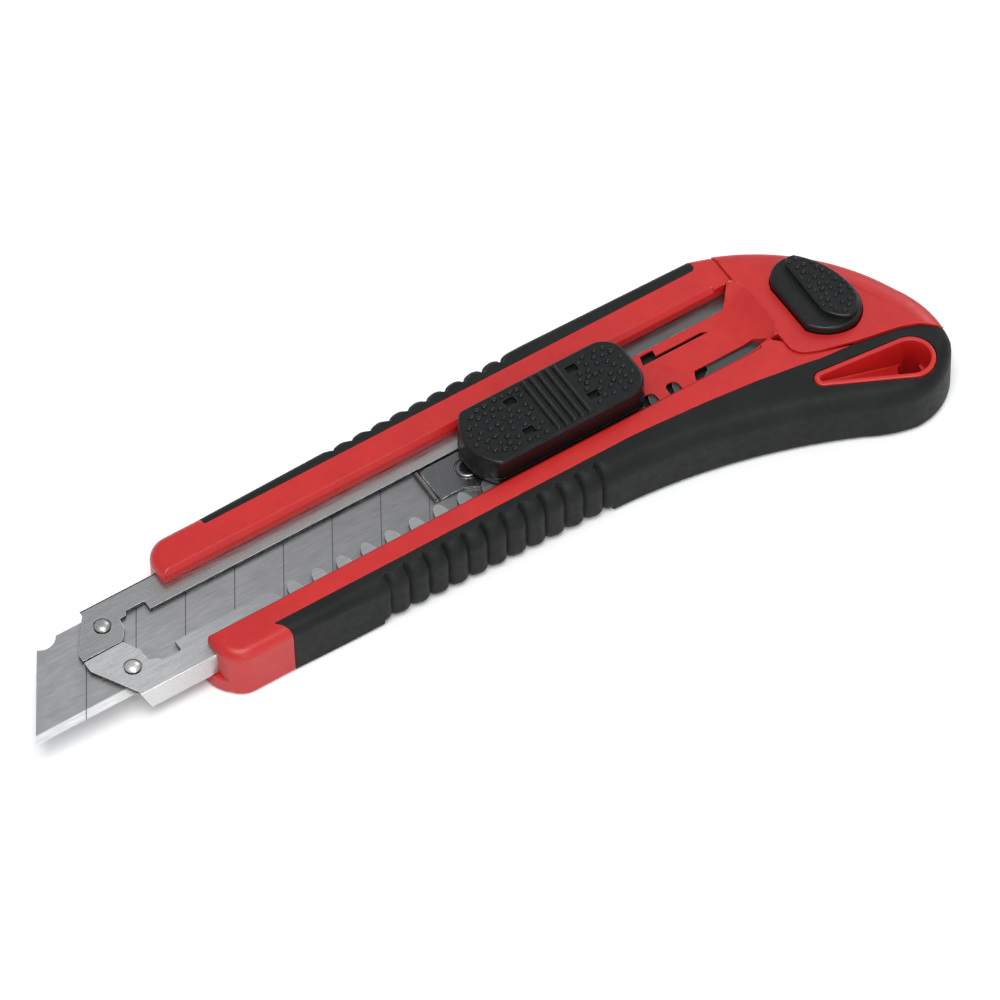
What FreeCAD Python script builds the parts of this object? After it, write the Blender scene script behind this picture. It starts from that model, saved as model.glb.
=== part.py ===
import FreeCAD, Part
import math
import os
import re
import Sketcher

# Snap-off knife with a spare-blade magazine, in millimetres.
# The drawing frame has X from the blade's tip towards the tail, Y from the cutting edge towards the
# spine and Z up from the blade's upper face. Every piece is then set down by the same Placement, which
# puts the middle of the knife's underside at the origin.

SIZES = {
    # blade
    "blade_length": 100.0, "blade_width": 18.0, "blade_thick": 0.5, "segment_pitch": 10.0,
    "score_run": 10.8, "score_depth": 0.08, "score_width": 0.16, "bevel_width": 1.7,
    "blade_hole_radius": 2.6, "blade_hole_setback": 6.5, "notch_radius": 2.8,
    "notch_run": 3.8, "notch_drop": 0.9,
    # folded steel channel
    "nose_setback": 15.5, "sheet_thick": 0.6, "side_gap": 1.05, "lip_gap": 0.3, "channel_depth": 4.3,
    "lip_near": 3.85, "lip_far": 4.4, "tab_length": 9.8, "relief_length": 5.7, "near_lip_length": 19.7,
    "tooth_pitch": 5.0, "tooth_width": 2.8, "shoulder_run": 4.8, "nose_flat": 1.9, "side_slant": 2.0,
    "tab_seam": 0.4, "boss_ball": 2.1, "boss_height": 0.75, "boss_cut_angle": 34.0, "boss_far": 5.7,
    "boss_near": 4.6,
    # moulded body
    "rail_front": 20.0, "floor_lead": 1.9, "slot_half": 7.35, "rail_top": 3.7, "rail_chamfer": 0.85,
    "rail_chamfer_rise": 1.0, "back_depth": 8.1, "body_half": 15.2, "nose_corner": 4.5,
    "belly_drop": 16.9, "chin_drop": 27.9, "tail_drop": 31.2, "heel_drop": 24.5, "tail_back_drop": 9.7,
    "spine_rear_rise": 16.0, "spine_crest_rise": 16.6, "tail_length": 25.6, "channel_fit": 0.05,
    "tail_floor": 1.6,
    # soft grips
    "grip_start": 32.0, "near_seam": 11.85, "far_seam": 13.1, "grip_skin": 1.8, "rib_pitch": 3.93,
    "rib_groove": 1.0, "rib_sink": 0.25, "edge_ribs": 12, "spine_ribs": 10, "edge_rib_start": 20.7,
    "spine_rib_start": 27.2,
    # tail cover and lanyard eye
    "cover_seat": 2.7, "cover_top": 4.2, "ramp_run": 3.5, "tongue_gap": 0.05, "tongue_thick": 0.4,
    "tongue_fit": 0.15, "boss_radius": 2.4, "boss_fit": 0.2, "eye_rim": 0.9, "eye_floor": 1.5,
    "eye_hole_radius": 2.1,
    # slider
    "cap_setback": 1.2, "cap_length": 33.4, "cap_half": 6.9, "cap_base": 1.5, "cap_top": 7.8,
    "cap_corner": 4.6, "cap_front_corner": 1.6, "cap_bow": 9.4,
    "cap_bow_back": 1.1, "cap_edge": 0.7, "cap_wall": 1.3, "ridge_pitch": 1.63, "ridge_width": 0.8,
    "ridge_rise": 0.4, "back_travel": 22.0, "stop_gap": 0.9, "pawl_reach": 22.0,
    "leaf_thick": 0.5, "leaf_lead": 8.9, "leaf_near": 3.1, "leaf_far": 4.0, "peg_radius": 2.3,
    "carrier_gap": 0.4, "carrier_half": 9.7, "rivet_radius": 1.0, "pawl_width": 1.6,
    # magazine and button
    "stack_gap": 0.05, "follower_thick": 0.4, "button_fit": 0.25,
    "button_low": 5.9, "button_high": 7.2, "button_edge": 0.5, "stem_radius": 3.0,
    "spring_wire": 0.5, "spring_radius": 2.6, "spring_turns": 5, "running_gap": 0.1,
    # screws
    "screw_head_radius": 2.6, "screw_head_depth": 1.6, "screw_radius": 1.3, "screw_length": 9.0,
}

# Places that follow from the sizes above.
PLACES = {
    "mid_y": "blade_width / 2",
    "hole_x": "blade_length - blade_hole_setback",
    "channel_half": "blade_width / 2 + side_gap + sheet_thick",
    "channel_inner": "blade_width / 2 + side_gap",
    "channel_top": "lip_gap + sheet_thick",
    "tab_end": "nose_setback + tab_length",
    "lip_start": "tab_end + relief_length",
    "first_gap": "lip_start + near_lip_length",
    "cap_front": "hole_x + cap_setback",
    "cap_bow_half": "(cap_half - cap_front_corner) / (1 - cap_front_corner / cap_bow)",
    "cap_side_run": "cap_front_corner * sqrt(1 - cap_bow_half * cap_bow_half / cap_bow / cap_bow)",
    "cap_rear": "cap_front + cap_length",
    "ramp_foot": "cap_rear + back_travel + stop_gap",
    "cover_front": "ramp_foot + ramp_run",
    "tail_end": "cover_front + tail_length",
    "channel_end": "cover_front - 1.5",
    "rail_x": "nose_setback + rail_front",
    "grip_x": "nose_setback + grip_start",
    "belly_x": "cover_front - 42.5",
    "button_x": "cover_front + 4.1",
    "stem_x": "button_x + 3.6",
    "stack_top": "blade_thick + stack_gap",
    "follower_top": "stack_top + 2 * blade_thick + 2 * stack_gap",
    "tail_deep": "back_depth - tail_floor",
}

doc = FreeCAD.newDocument("snap_off_knife")
sheet = doc.addObject("Spreadsheet::Sheet", "Sizes")
for row, (alias, value) in enumerate(list(SIZES.items()) + list(PLACES.items()), 1):
    text = "=" + value if isinstance(value, str) else str(value)
    sheet.set("A%d" % row, alias)
    sheet.set("B%d" % row, text)
    sheet.setAlias("B%d" % row, alias)
doc.recompute()

pieces = []


def size(words):
    """The number that a size expression gives now."""
    return float(sheet.evalExpression(words))


def bind(thing, prop, words):
    """Tie a property to the sheet; bare names are cells of the sheet."""
    thing.setExpression(prop, re.sub(r"\b(?!floor\()([a-z]\w*)", r"Sizes.\1", words))


def new_piece(label):
    """A body that is set down in the row's frame."""
    body = doc.addObject("PartDesign::Body", label)
    body.Label = label
    bind(body, "Placement.Base.x", "-tail_end / 2")
    bind(body, "Placement.Base.y", "(tail_drop - spine_crest_rise) / 2 - mid_y")
    bind(body, "Placement.Base.z", "back_depth")
    pieces.append(body)
    return body


def new_sketch(body, name, plane, height):
    """A sketch on one of the body's own planes, lifted along the plane's normal."""
    sketch = body.newObject("Sketcher::SketchObject", body.Label + "_" + name)
    origin = [f for f in body.Origin.OriginFeatures if f.Role == plane][0]
    sketch.AttachmentSupport = [(origin, "")]
    sketch.MapMode = "FlatFace"
    bind(sketch, "AttachmentOffset.Base.z", height)
    return sketch


def pin_point(sketch, edge, end, x, y):
    """Fix one end of an edge at (x, y), both tied to the sheet."""
    for kind, words in (("DistanceX", x), ("DistanceY", y)):
        index = sketch.addConstraint(Sketcher.Constraint(kind, -1, 1, edge, end, size(words)))
        bind(sketch, "Constraints[%d]" % index, words)


def outline(body, name, steps, plane="XY_Plane", height="0 * mid_y"):
    """A closed outline. A step is (x, y) for a straight run to that point, or (x, y, radius, turn) for
    an arc to it, turn +1 to the left and -1 to the right."""
    sketch = new_sketch(body, name, plane, height)
    count = len(steps)
    ends = []
    for i, step in enumerate(steps):
        before = steps[i - 1]
        a = FreeCAD.Vector(size(before[0]), size(before[1]), 0)
        b = FreeCAD.Vector(size(step[0]), size(step[1]), 0)
        if len(step) == 2:
            edge = sketch.addGeometry(Part.LineSegment(a, b))
            ends.append((edge, 1, 2))
            continue
        radius = size(step[2])
        half = (b - a).Length / 2
        side = FreeCAD.Vector(-(b - a).y, (b - a).x, 0).normalize() * step[3]
        centre = (a + b) * 0.5 + side * math.sqrt(max(radius ** 2 - half ** 2, 0))
        angles = [math.atan2(p.y - centre.y, p.x - centre.x) for p in (a, b)]
        if step[3] < 0:
            angles.reverse()
        if angles[1] < angles[0]:
            angles[1] += 2 * math.pi
        circle = Part.Circle(centre, FreeCAD.Vector(0, 0, 1), radius)
        edge = sketch.addGeometry(Part.ArcOfCircle(circle, angles[0], angles[1]))
        ends.append((edge, 1, 2) if step[3] > 0 else (edge, 2, 1))
    for i, step in enumerate(steps):
        edge, first, last = ends[i]
        following = ends[(i + 1) % count]
        sketch.addConstraint(Sketcher.Constraint("Coincident", edge, last, following[0], following[1]))
        pin_point(sketch, edge, last, step[0], step[1])
        if len(step) == 4:
            index = sketch.addConstraint(Sketcher.Constraint("Radius", edge, size(step[2])))
            bind(sketch, "Constraints[%d]" % index, step[2])
    return sketch


def rings(body, name, circles, plane="XY_Plane", height="0 * mid_y"):
    """A sketch of full circles, each (x, y, radius)."""
    sketch = new_sketch(body, name, plane, height)
    for x, y, radius in circles:
        centre = FreeCAD.Vector(size(x), size(y), 0)
        circle = sketch.addGeometry(Part.Circle(centre, FreeCAD.Vector(0, 0, 1), size(radius)))
        pin_point(sketch, circle, 3, x, y)
        index = sketch.addConstraint(Sketcher.Constraint("Radius", circle, size(radius)))
        bind(sketch, "Constraints[%d]" % index, radius)
    return sketch


def rectangle(x0, y0, x1, y1):
    return [(x0, y0), (x1, y0), (x1, y1), (x0, y1)]


def add(body, sketch, length, midplane=False, towards=True):
    """Pad the sketch along its normal, about it, or against it."""
    pad = body.newObject("PartDesign::Pad", sketch.Label + "_pad")
    pad.Profile = sketch
    bind(pad, "Length", length)
    pad.Midplane = midplane
    pad.Reversed = not towards
    doc.recompute()
    return pad


def cut(body, sketch, length, midplane=False, towards=True):
    """Cut the sketch out of the body along its normal, about it, or against it."""
    before = body.Shape.Volume
    pocket = body.newObject("PartDesign::Pocket", sketch.Label + "_pocket")
    pocket.Profile = sketch
    bind(pocket, "Length", length)
    pocket.Midplane = midplane
    pocket.Reversed = towards
    doc.recompute()
    if not body.Shape.Volume < before - 1e-4:
        raise RuntimeError(sketch.Label + " cuts nothing")
    return pocket


def repeat_along_x(body, feature, pitch, count):
    """Repeat a feature along X, count times in all."""
    pattern = body.newObject("PartDesign::LinearPattern", feature.Label + "_row")
    pattern.Originals = [feature]
    x_axis = [f for f in body.Origin.OriginFeatures if f.Role == "X_Axis"][0]
    pattern.Direction = (x_axis, [""])
    bind(pattern, "Length", "(%s) * (%s - 1)" % (pitch, count))
    bind(pattern, "Occurrences", count)
    body.Tip = pattern
    doc.recompute()
    return pattern


def round_edges(body, chosen, radius):
    """Round the edges of the body's tip that the test picks."""
    base = body.Tip
    names = ["Edge%d" % i for i, edge in enumerate(base.Shape.Edges, 1) if chosen(edge)]
    fillet = body.newObject("PartDesign::Fillet", body.Label + "_round")
    fillet.Base = (base, names)
    bind(fillet, "Radius", radius)
    doc.recompute()
    return fillet


def level_edge(height):
    """A test that picks the edges lying wholly at one height."""
    z = size(height)
    return lambda edge: abs(edge.BoundBox.ZMin - z) < 1e-4 and abs(edge.BoundBox.ZMax - z) < 1e-4


def handle_outline(inset="0"):
    """The handle seen from above, from the soft grips' front to the tail and back along the spine."""
    return [
        ("grip_x", "mid_y - body_half + %s" % inset),
        ("belly_x", "mid_y - belly_drop + %s" % inset),
        ("tail_end - 21.2 + 0.4 * %s" % inset, "mid_y - chin_drop + 0.9 * %s" % inset,
         "117 + %s" % inset, -1),
        ("tail_end - 12.1", "mid_y - tail_drop + %s" % inset, "25.4 - %s" % inset, 1),
        ("tail_end - 0.6 - 0.9 * %s" % inset, "mid_y - heel_drop + 0.45 * %s" % inset,
         "12.3 - %s" % inset, 1),
        ("tail_end - 2.4 - 0.92 * %s" % inset, "mid_y - tail_back_drop - 0.4 * %s" % inset,
         "21 - %s" % inset, 1),
        ("cover_front - 4.5", "mid_y + spine_rear_rise - %s" % inset, "43.3 - %s" % inset, 1),
        ("cover_front - 39.5", "mid_y + spine_crest_rise - %s" % inset),
        ("grip_x", "mid_y + body_half - %s" % inset),
    ]


def below_near_seam():
    """Everything on the cutting-edge side of the seam between hard body and soft grip."""
    return [
        ("grip_x", "mid_y - near_seam"),
        ("grip_x", "mid_y - tail_drop - 9"),
        ("tail_end + 9", "mid_y - tail_drop - 9"),
        ("tail_end + 9", "mid_y - heel_drop + 2"),
        ("tail_end - 0.5", "mid_y - heel_drop + 2"),
        ("tail_end - 7", "mid_y - near_seam - 6.2"),
        ("cover_front + 3.5", "mid_y - near_seam - 4.1"),
        ("belly_x + 8", "mid_y - near_seam"),
    ]


def above_near_seam():
    """Everything on the spine side of the same seam."""
    seam = below_near_seam()
    return [
        ("grip_x - 9", "mid_y - near_seam"),
        seam[0], seam[7], seam[6], seam[5], seam[4], seam[3],
        ("tail_end + 9", "mid_y + tail_drop"),
        ("grip_x - 9", "mid_y + tail_drop"),
    ]


def eye_outline(inset="0"):
    """The lanyard eye, a drop with its narrow end forward."""
    return [
        ("tail_end - 25.6 + 0.9 * %s" % inset, "mid_y - 21.2 + 0.45 * %s" % inset),
        ("tail_end - 24.5 + 0.1 * %s" % inset, "mid_y - 18.25 - %s" % inset, "1.7 - 0.9 * %s" % inset, -1),
        ("tail_end - 8.1 - 0.2 * %s" % inset, "mid_y - 19.9 - %s" % inset),
        ("tail_end - 4.9 - %s" % inset, "mid_y - 25.2 + 0.2 * %s" % inset, "4.5 - %s" % inset, -1),
        ("tail_end - 11.2 + 0.4 * %s" % inset, "mid_y - 28.2 + 0.9 * %s" % inset, "4.5 - %s" % inset, -1),
    ]


def button_outline(grow="0"):
    """The reload button seen from above: straight front edge, round ends, bulged rear edge."""
    return [
        ("button_x - %s" % grow, "mid_y + 1.5", "5 + %s" % grow, 1),
        ("button_x - %s" % grow, "mid_y - 9.6"),
        ("button_x + 7.7", "mid_y - 13.5 - %s" % grow, "8 + %s" % grow, 1),
        ("button_x + 11.9 + %s" % grow, "mid_y - 7.5", "6 + %s" % grow, 1),
        ("button_x + 5.9 + 0.5 * %s" % grow, "mid_y + 5.2 + 0.9 * %s" % grow, "18 + %s" % grow, 1),
    ]


SCREW_PLACES = [("cover_front + 2.3", "mid_y + 9"), ("tail_end - 5.6", "mid_y - 13.5")]


# ---- moulded body ---------------------------------------------------------------------------------
shell = new_piece("handle_shell")
nose_steps = [
    ("rail_x + nose_corner", "mid_y + body_half"),
    ("rail_x", "mid_y + channel_half + 0.1"),
    ("rail_x - floor_lead", "mid_y + channel_half - 0.4"),
    ("rail_x - floor_lead", "mid_y - channel_half + 0.4"),
    ("rail_x", "mid_y - channel_half - 0.1"),
    ("rail_x + nose_corner", "mid_y - body_half"),
]
add(shell, outline(shell, "plan", handle_outline() + nose_steps, height="-back_depth"),
    "back_depth + rail_top")
cut(shell, outline(shell, "near_grip", below_near_seam(), height="-back_depth - 1"),
    "back_depth + rail_top + 2")
far_grip = rectangle("grip_x", "mid_y + far_seam", "cover_front - 4", "mid_y + tail_drop")
cut(shell, outline(shell, "far_grip", far_grip, height="-back_depth - 1"), "back_depth + rail_top + 2")
add(shell, outline(shell, "flange", handle_outline("grip_skin"), height="-back_depth + grip_skin"),
    "back_depth + rail_top - 2 * grip_skin")
add(shell, outline(shell, "eye_rim", eye_outline(), height="-back_depth"), "back_depth + rail_top")
eye_hole = ("tail_end - 8.6", "mid_y - 23.4", "eye_hole_radius")
cut(shell, rings(shell, "eye_hole", [eye_hole], height="-back_depth - 1"), "back_depth + 1")
slot = [
    ("mid_y - channel_half - channel_fit", "-channel_depth - channel_fit"),
    ("mid_y + channel_half + channel_fit", "-channel_depth - channel_fit"),
    ("mid_y + channel_half + channel_fit", "channel_top + channel_fit"),
    ("mid_y + slot_half", "channel_top + channel_fit"),
    ("mid_y + slot_half", "rail_top - rail_chamfer_rise"),
    ("mid_y + slot_half + rail_chamfer", "rail_top"),
    ("mid_y + slot_half + rail_chamfer", "rail_top + 1"),
    ("mid_y - slot_half - rail_chamfer", "rail_top + 1"),
    ("mid_y - slot_half - rail_chamfer", "rail_top"),
    ("mid_y - slot_half", "rail_top - rail_chamfer_rise"),
    ("mid_y - slot_half", "channel_top + channel_fit"),
    ("mid_y - channel_half - channel_fit", "channel_top + channel_fit"),
]
cut(shell, outline(shell, "channel_slot", slot, "YZ_Plane"), "channel_end + channel_fit")
above_floor = rectangle("rail_x - floor_lead - 1", "mid_y - body_half - 1", "rail_x", "mid_y + body_half + 1")
cut(shell, outline(shell, "floor_step", above_floor, height="-channel_depth - channel_fit"),
    "channel_depth + rail_top + 1")
behind_cover_edge = rectangle("cover_front", "mid_y - heel_drop + 2", "tail_end + 9", "mid_y + tail_drop")
cut(shell, outline(shell, "cover_seat", behind_cover_edge, height="cover_seat"), "rail_top + 1")
add(shell, outline(shell, "eye_rim_top", eye_outline(), height="rail_top - grip_skin"), "grip_skin")
cut(shell, outline(shell, "eye_mouth", eye_outline("eye_rim"), height="-eye_floor"),
    "eye_floor + rail_top + 1")
tail_room = [
    ("channel_end - 0.5", "mid_y - slot_half - 0.2"),
    ("button_x", "mid_y - 13.5"),
    ("button_x + 8", "mid_y - 15"),
    ("button_x + 13.8", "mid_y - 9"),
    ("button_x + 13.8", "mid_y - 4.5"),
    ("button_x + 7", "mid_y + 6"),
    ("button_x - 1", "mid_y + slot_half + 0.2"),
    ("channel_end - 0.5", "mid_y + slot_half + 0.2"),
]
cut(shell, outline(shell, "tail_room", tail_room, height="-tail_deep"), "tail_deep + rail_top")
boss_wells = [(x, y, "boss_radius + boss_fit") for x, y in SCREW_PLACES]
cut(shell, rings(shell, "boss_wells", boss_wells, height="-tail_deep + 2"), "tail_deep + rail_top")
shanks = [(x, y, "screw_radius + running_gap") for x, y in SCREW_PLACES]
cut(shell, rings(shell, "screw_holes", shanks, height="-back_depth - 1"), "back_depth + cover_seat")
heads = [(x, y, "screw_head_radius + running_gap") for x, y in SCREW_PLACES]
cut(shell, rings(shell, "head_wells", heads, height="-back_depth - 1"),
    "screw_head_depth + 1 + running_gap")

# ---- soft grips -----------------------------------------------------------------------------------
edge_grip = new_piece("edge_grip")
add(edge_grip, outline(edge_grip, "plan", handle_outline(), height="-back_depth"), "back_depth + rail_top")
cut(edge_grip, outline(edge_grip, "hard_side", above_near_seam(), height="-back_depth - 1"),
    "back_depth + rail_top + 2")
cut(edge_grip, outline(edge_grip, "core", handle_outline("grip_skin"), height="-back_depth + grip_skin"),
    "back_depth + rail_top - 2 * grip_skin")
cut(edge_grip, outline(edge_grip, "eye", eye_outline(), height="-back_depth - 1"),
    "back_depth + rail_top + 2")
edge_fall = "(belly_drop - body_half) / (belly_x - grip_x)"
edge_grooves = [
    ("grip_x + edge_rib_start + %d * rib_pitch" % i,
     "mid_y - body_half - rib_sink - (edge_rib_start + %d * rib_pitch) * %s" % (i, edge_fall), "rib_groove")
    for i in range(int(size("edge_ribs")))
]
cut(edge_grip, rings(edge_grip, "grooves", edge_grooves, height="-back_depth - 1"),
    "back_depth + rail_top + 2")

spine_grip = new_piece("spine_grip")
add(spine_grip, outline(spine_grip, "plan", handle_outline(), height="-back_depth"),
    "back_depth + rail_top")
spine_hard_side = [
    ("grip_x - 1", "mid_y - tail_drop - 1"), ("tail_end + 1", "mid_y - tail_drop - 1"),
    ("tail_end + 1", "mid_y + tail_drop"), ("cover_front - 4", "mid_y + tail_drop"),
    ("cover_front - 4", "mid_y + far_seam"), ("grip_x - 1", "mid_y + far_seam"),
]
cut(spine_grip, outline(spine_grip, "hard_side", spine_hard_side, height="-back_depth - 1"),
    "back_depth + rail_top + 2")
cut(spine_grip, outline(spine_grip, "core", handle_outline("grip_skin"), height="-back_depth + grip_skin"),
    "back_depth + rail_top - 2 * grip_skin")
spine_climb = "(spine_crest_rise - body_half) / (cover_front - 39.5 - grip_x)"
spine_grooves = [
    ("grip_x + spine_rib_start + %d * rib_pitch" % i,
     "mid_y + body_half + rib_sink + (spine_rib_start + %d * rib_pitch) * %s" % (i, spine_climb),
     "rib_groove")
    for i in range(int(size("spine_ribs")))
]
cut(spine_grip, rings(spine_grip, "grooves", spine_grooves, height="-back_depth - 1"),
    "back_depth + rail_top + 2")

# ---- tail cover with its tongue -------------------------------------------------------------------
cover = new_piece("rear_cover")
add(cover, outline(cover, "plan", handle_outline(), height="cover_seat"), "cover_top - cover_seat")
ahead_of_cover = rectangle("grip_x - 1", "mid_y - tail_drop - 1", "cover_front", "mid_y + tail_drop")
cut(cover, outline(cover, "front", ahead_of_cover, height="cover_seat - 1"), "cover_top + 1")
cut(cover, outline(cover, "soft_side", below_near_seam(), height="cover_seat - 1"), "cover_top + 1")
tongue = rectangle("cap_rear - 0.6", "mid_y - slot_half + tongue_fit", "ramp_foot + 1",
                   "mid_y + lip_far - tongue_fit")
add(cover, outline(cover, "tongue", tongue, height="channel_top + tongue_gap"), "tongue_thick")
ramp = [
    ("ramp_foot", "channel_top + tongue_gap"),
    ("cover_front + 1.5", "channel_top + tongue_gap"),
    ("cover_front + 1.5", "cover_top"),
    ("cover_front", "cover_top"),
    ("ramp_foot", "channel_top + tongue_gap + tongue_thick"),
]
add(cover, outline(cover, "ramp", ramp, "XZ_Plane", "-mid_y"), "2 * (slot_half - tongue_fit)", midplane=True)
add(cover, rings(cover, "bosses", [(x, y, "boss_radius") for x, y in SCREW_PLACES],
                 height="-tail_deep + 2.1"), "tail_deep - 2.1 + cover_seat + 0.5")
cut(cover, rings(cover, "pilots", [(x, y, "screw_radius") for x, y in SCREW_PLACES],
                 height="-tail_deep + 2"), "screw_length - tail_floor + 1.9 - 2")
cut(cover, outline(cover, "button_mouth", button_outline("button_fit"), height="0 * mid_y"), "cover_top + 1")
near_edge = "mid_y - slot_half + tongue_fit + 0.2"
view_window = [
    ("cap_rear + 9.2", near_edge), ("cap_rear + 24.4", near_edge),
    ("cap_rear + 22.2", "mid_y - lip_near - 0.3"), ("cap_rear + 10.4", "mid_y - lip_near - 0.3"),
]
cut(cover, outline(cover, "view_window", view_window, height="channel_top"), "cover_top + 1")
tooth_hole = [
    ("cap_rear + 6.7", near_edge),
    ("cap_rear + 5.3", "mid_y - lip_near - 0.4", "2.6", 1),
    ("cap_rear + 3.9", near_edge, "2.6", 1),
]
cut(cover, outline(cover, "tooth_hole", tooth_hole, height="channel_top"), "tongue_thick + 1")
key_slot = [
    ("cap_rear + 2.6", "mid_y + 1.6"), ("cap_rear + 17", "mid_y + 1.9"),
    ("cap_rear + 17", "mid_y + 2.3"), ("cap_rear + 6", "mid_y + 2.4"),
    ("cap_rear + 6", "mid_y + 3.7"), ("cap_rear + 3.4", "mid_y + 3.7"),
]
cut(cover, outline(cover, "key_slot", key_slot, height="channel_top"), "tongue_thick + 1")

# ---- folded steel channel -------------------------------------------------------------------------
channel = new_piece("blade_channel")
fold = [
    ("mid_y - channel_half", "-channel_depth"), ("mid_y + channel_half", "-channel_depth"),
    ("mid_y + channel_half", "channel_top"), ("mid_y + lip_far", "channel_top"),
    ("mid_y + lip_far", "lip_gap"), ("mid_y + channel_inner", "lip_gap"),
    ("mid_y + channel_inner", "-channel_depth + sheet_thick"),
    ("mid_y - channel_inner", "-channel_depth + sheet_thick"),
    ("mid_y - channel_inner", "lip_gap"), ("mid_y - lip_near", "lip_gap"),
    ("mid_y - lip_near", "channel_top"), ("mid_y - channel_half", "channel_top"),
]
add(channel, outline(channel, "fold", fold, "YZ_Plane", "nose_setback"), "channel_end - nose_setback")
for side, sign in (("far", "+"), ("near", "-")):
    tab = [
        ("nose_setback", "mid_y + 0.9 %s tab_seam / 2" % sign),
        ("tab_end - 1.8", "mid_y + 0.9 %s tab_seam / 2" % sign),
        ("tab_end", "mid_y + 0.9 %s 2.4" % sign),
        ("tab_end", "mid_y %s channel_half %s -0.2" % (sign, sign)),
        ("nose_setback", "mid_y %s channel_half %s -0.2" % (sign, sign)),
    ]
    add(channel, outline(channel, side + "_tab", tab, height="lip_gap"), "sheet_thick")
    relief = [
        ("tab_end", "mid_y"), ("lip_start", "mid_y"),
        ("lip_start", "mid_y %s 6.2" % sign), ("tab_end + 1.7", "mid_y %s 6.2" % sign),
        ("tab_end + 1.4", "mid_y %s 5.3" % sign), ("tab_end", "mid_y %s 5.2" % sign),
    ]
    cut(channel, outline(channel, side + "_relief", relief, height="lip_gap - 0.1"), "sheet_thick + 1")
    corner = [
        ("nose_setback - 1", "mid_y %s (channel_half + 1)" % sign),
        ("nose_setback + shoulder_run + 0.5", "mid_y %s (channel_half + 1)" % sign),
        ("nose_setback + shoulder_run", "mid_y %s channel_half" % sign),
        ("nose_setback", "mid_y %s nose_flat" % sign),
        ("nose_setback - 1", "mid_y %s nose_flat" % sign),
    ]
    cut(channel, outline(channel, side + "_corner", corner, height="-channel_depth - 1"),
        "channel_depth + channel_top + 2")
    boss = channel.newObject("PartDesign::AdditiveSphere", side + "_boss")
    bind(boss, "Radius", "boss_ball")
    bind(boss, "Angle1", "boss_cut_angle")
    bind(boss, "Placement.Base.x", "nose_setback + 6.6")
    bind(boss, "Placement.Base.y", "mid_y %s boss_%s" % (sign, side))
    bind(boss, "Placement.Base.z", "channel_top + boss_height - boss_ball")
    doc.recompute()
under_nose = [
    ("nose_setback - 1", "-channel_depth - 1"),
    ("nose_setback + shoulder_run + side_slant + 0.4", "-channel_depth - 1"),
    ("nose_setback + shoulder_run", "lip_gap"), ("nose_setback - 1", "lip_gap"),
]
cut(channel, outline(channel, "under_nose", under_nose, "XZ_Plane", "-mid_y"), "3 * channel_half",
    midplane=True)
gap = rectangle("first_gap", "mid_y - channel_half + 2.2", "first_gap + tooth_pitch - tooth_width",
                "mid_y - lip_near + 1")
first_gap = cut(channel, outline(channel, "tooth_gap", gap, height="lip_gap - 0.1"), "sheet_thick + 1")
repeat_along_x(channel, first_gap, "tooth_pitch", "floor((cap_rear + 10.3 - first_gap) / tooth_pitch)")

guide = new_piece("nose_guide")
guide_profile = [
    ("nose_setback + 6.8", "-channel_depth + sheet_thick + stack_gap"),
    ("rail_x", "-channel_depth + sheet_thick + stack_gap"),
    ("rail_x", "-channel_depth + sheet_thick + 0.6"),
    ("nose_setback + 6.7", "-channel_depth + sheet_thick + 0.6"),
    ("nose_setback + 6.7", "-blade_thick - running_gap"),
    ("nose_setback + 5.7", "-blade_thick - running_gap"),
]
add(guide, outline(guide, "profile", guide_profile, "XZ_Plane", "-mid_y"), "2 * (channel_inner - stack_gap)",
    midplane=True)


# ---- blades ---------------------------------------------------------------------------------------
def snap_blade(label, shift, top):
    """One snap-off blade: leaning front, notched spine corner, ground edge, score lines and rear hole."""
    blade = new_piece(label)
    bottom = "%s - blade_thick" % top
    lean = "score_run / blade_width"
    plan = [
        (shift, "0 * mid_y"),
        ("%s + blade_length" % shift, "0 * mid_y"),
        ("%s + blade_length" % shift, "blade_width"),
        ("%s + score_run + notch_run" % shift, "blade_width"),
        ("%s + %s * (blade_width - notch_drop)" % (shift, lean), "blade_width - notch_drop",
         "notch_radius", -1),
    ]
    add(blade, outline(blade, "plan", plan, height=bottom), "blade_thick")
    for face, level, inward in (("upper", top, "-"), ("lower", bottom, "+")):
        bevel = [
            ("-0.1", "%s %s blade_thick / 2" % (level, inward)),
            ("bevel_width", level),
            ("-0.1", level),
        ]
        cut(blade, outline(blade, face + "_bevel", bevel, "YZ_Plane", shift), "blade_length")
    score = [
        ("%s + segment_pitch" % shift, "0 * mid_y"),
        ("%s + segment_pitch + score_width" % shift, "0 * mid_y"),
        ("%s + segment_pitch + score_width + score_run" % shift, "blade_width"),
        ("%s + segment_pitch + score_run" % shift, "blade_width"),
    ]
    line = cut(blade, outline(blade, "score", score, height="%s - score_depth" % top), "score_depth + 0.1")
    repeat_along_x(blade, line, "segment_pitch", "floor(blade_length / segment_pitch) - 3")
    hole = ("%s + hole_x" % shift, "mid_y", "blade_hole_radius")
    cut(blade, rings(blade, "hole", [hole], height="%s - 0.1" % bottom), "blade_thick + 0.2")
    return blade


snap_blade("active_blade", "0 * mid_y", "0 * mid_y")
spare_shift = "(back_travel + 0.3)"
snap_blade("spare_blade_upper", spare_shift, "-stack_top")
snap_blade("spare_blade_lower", spare_shift, "(-stack_top - blade_thick - stack_gap)")

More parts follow.
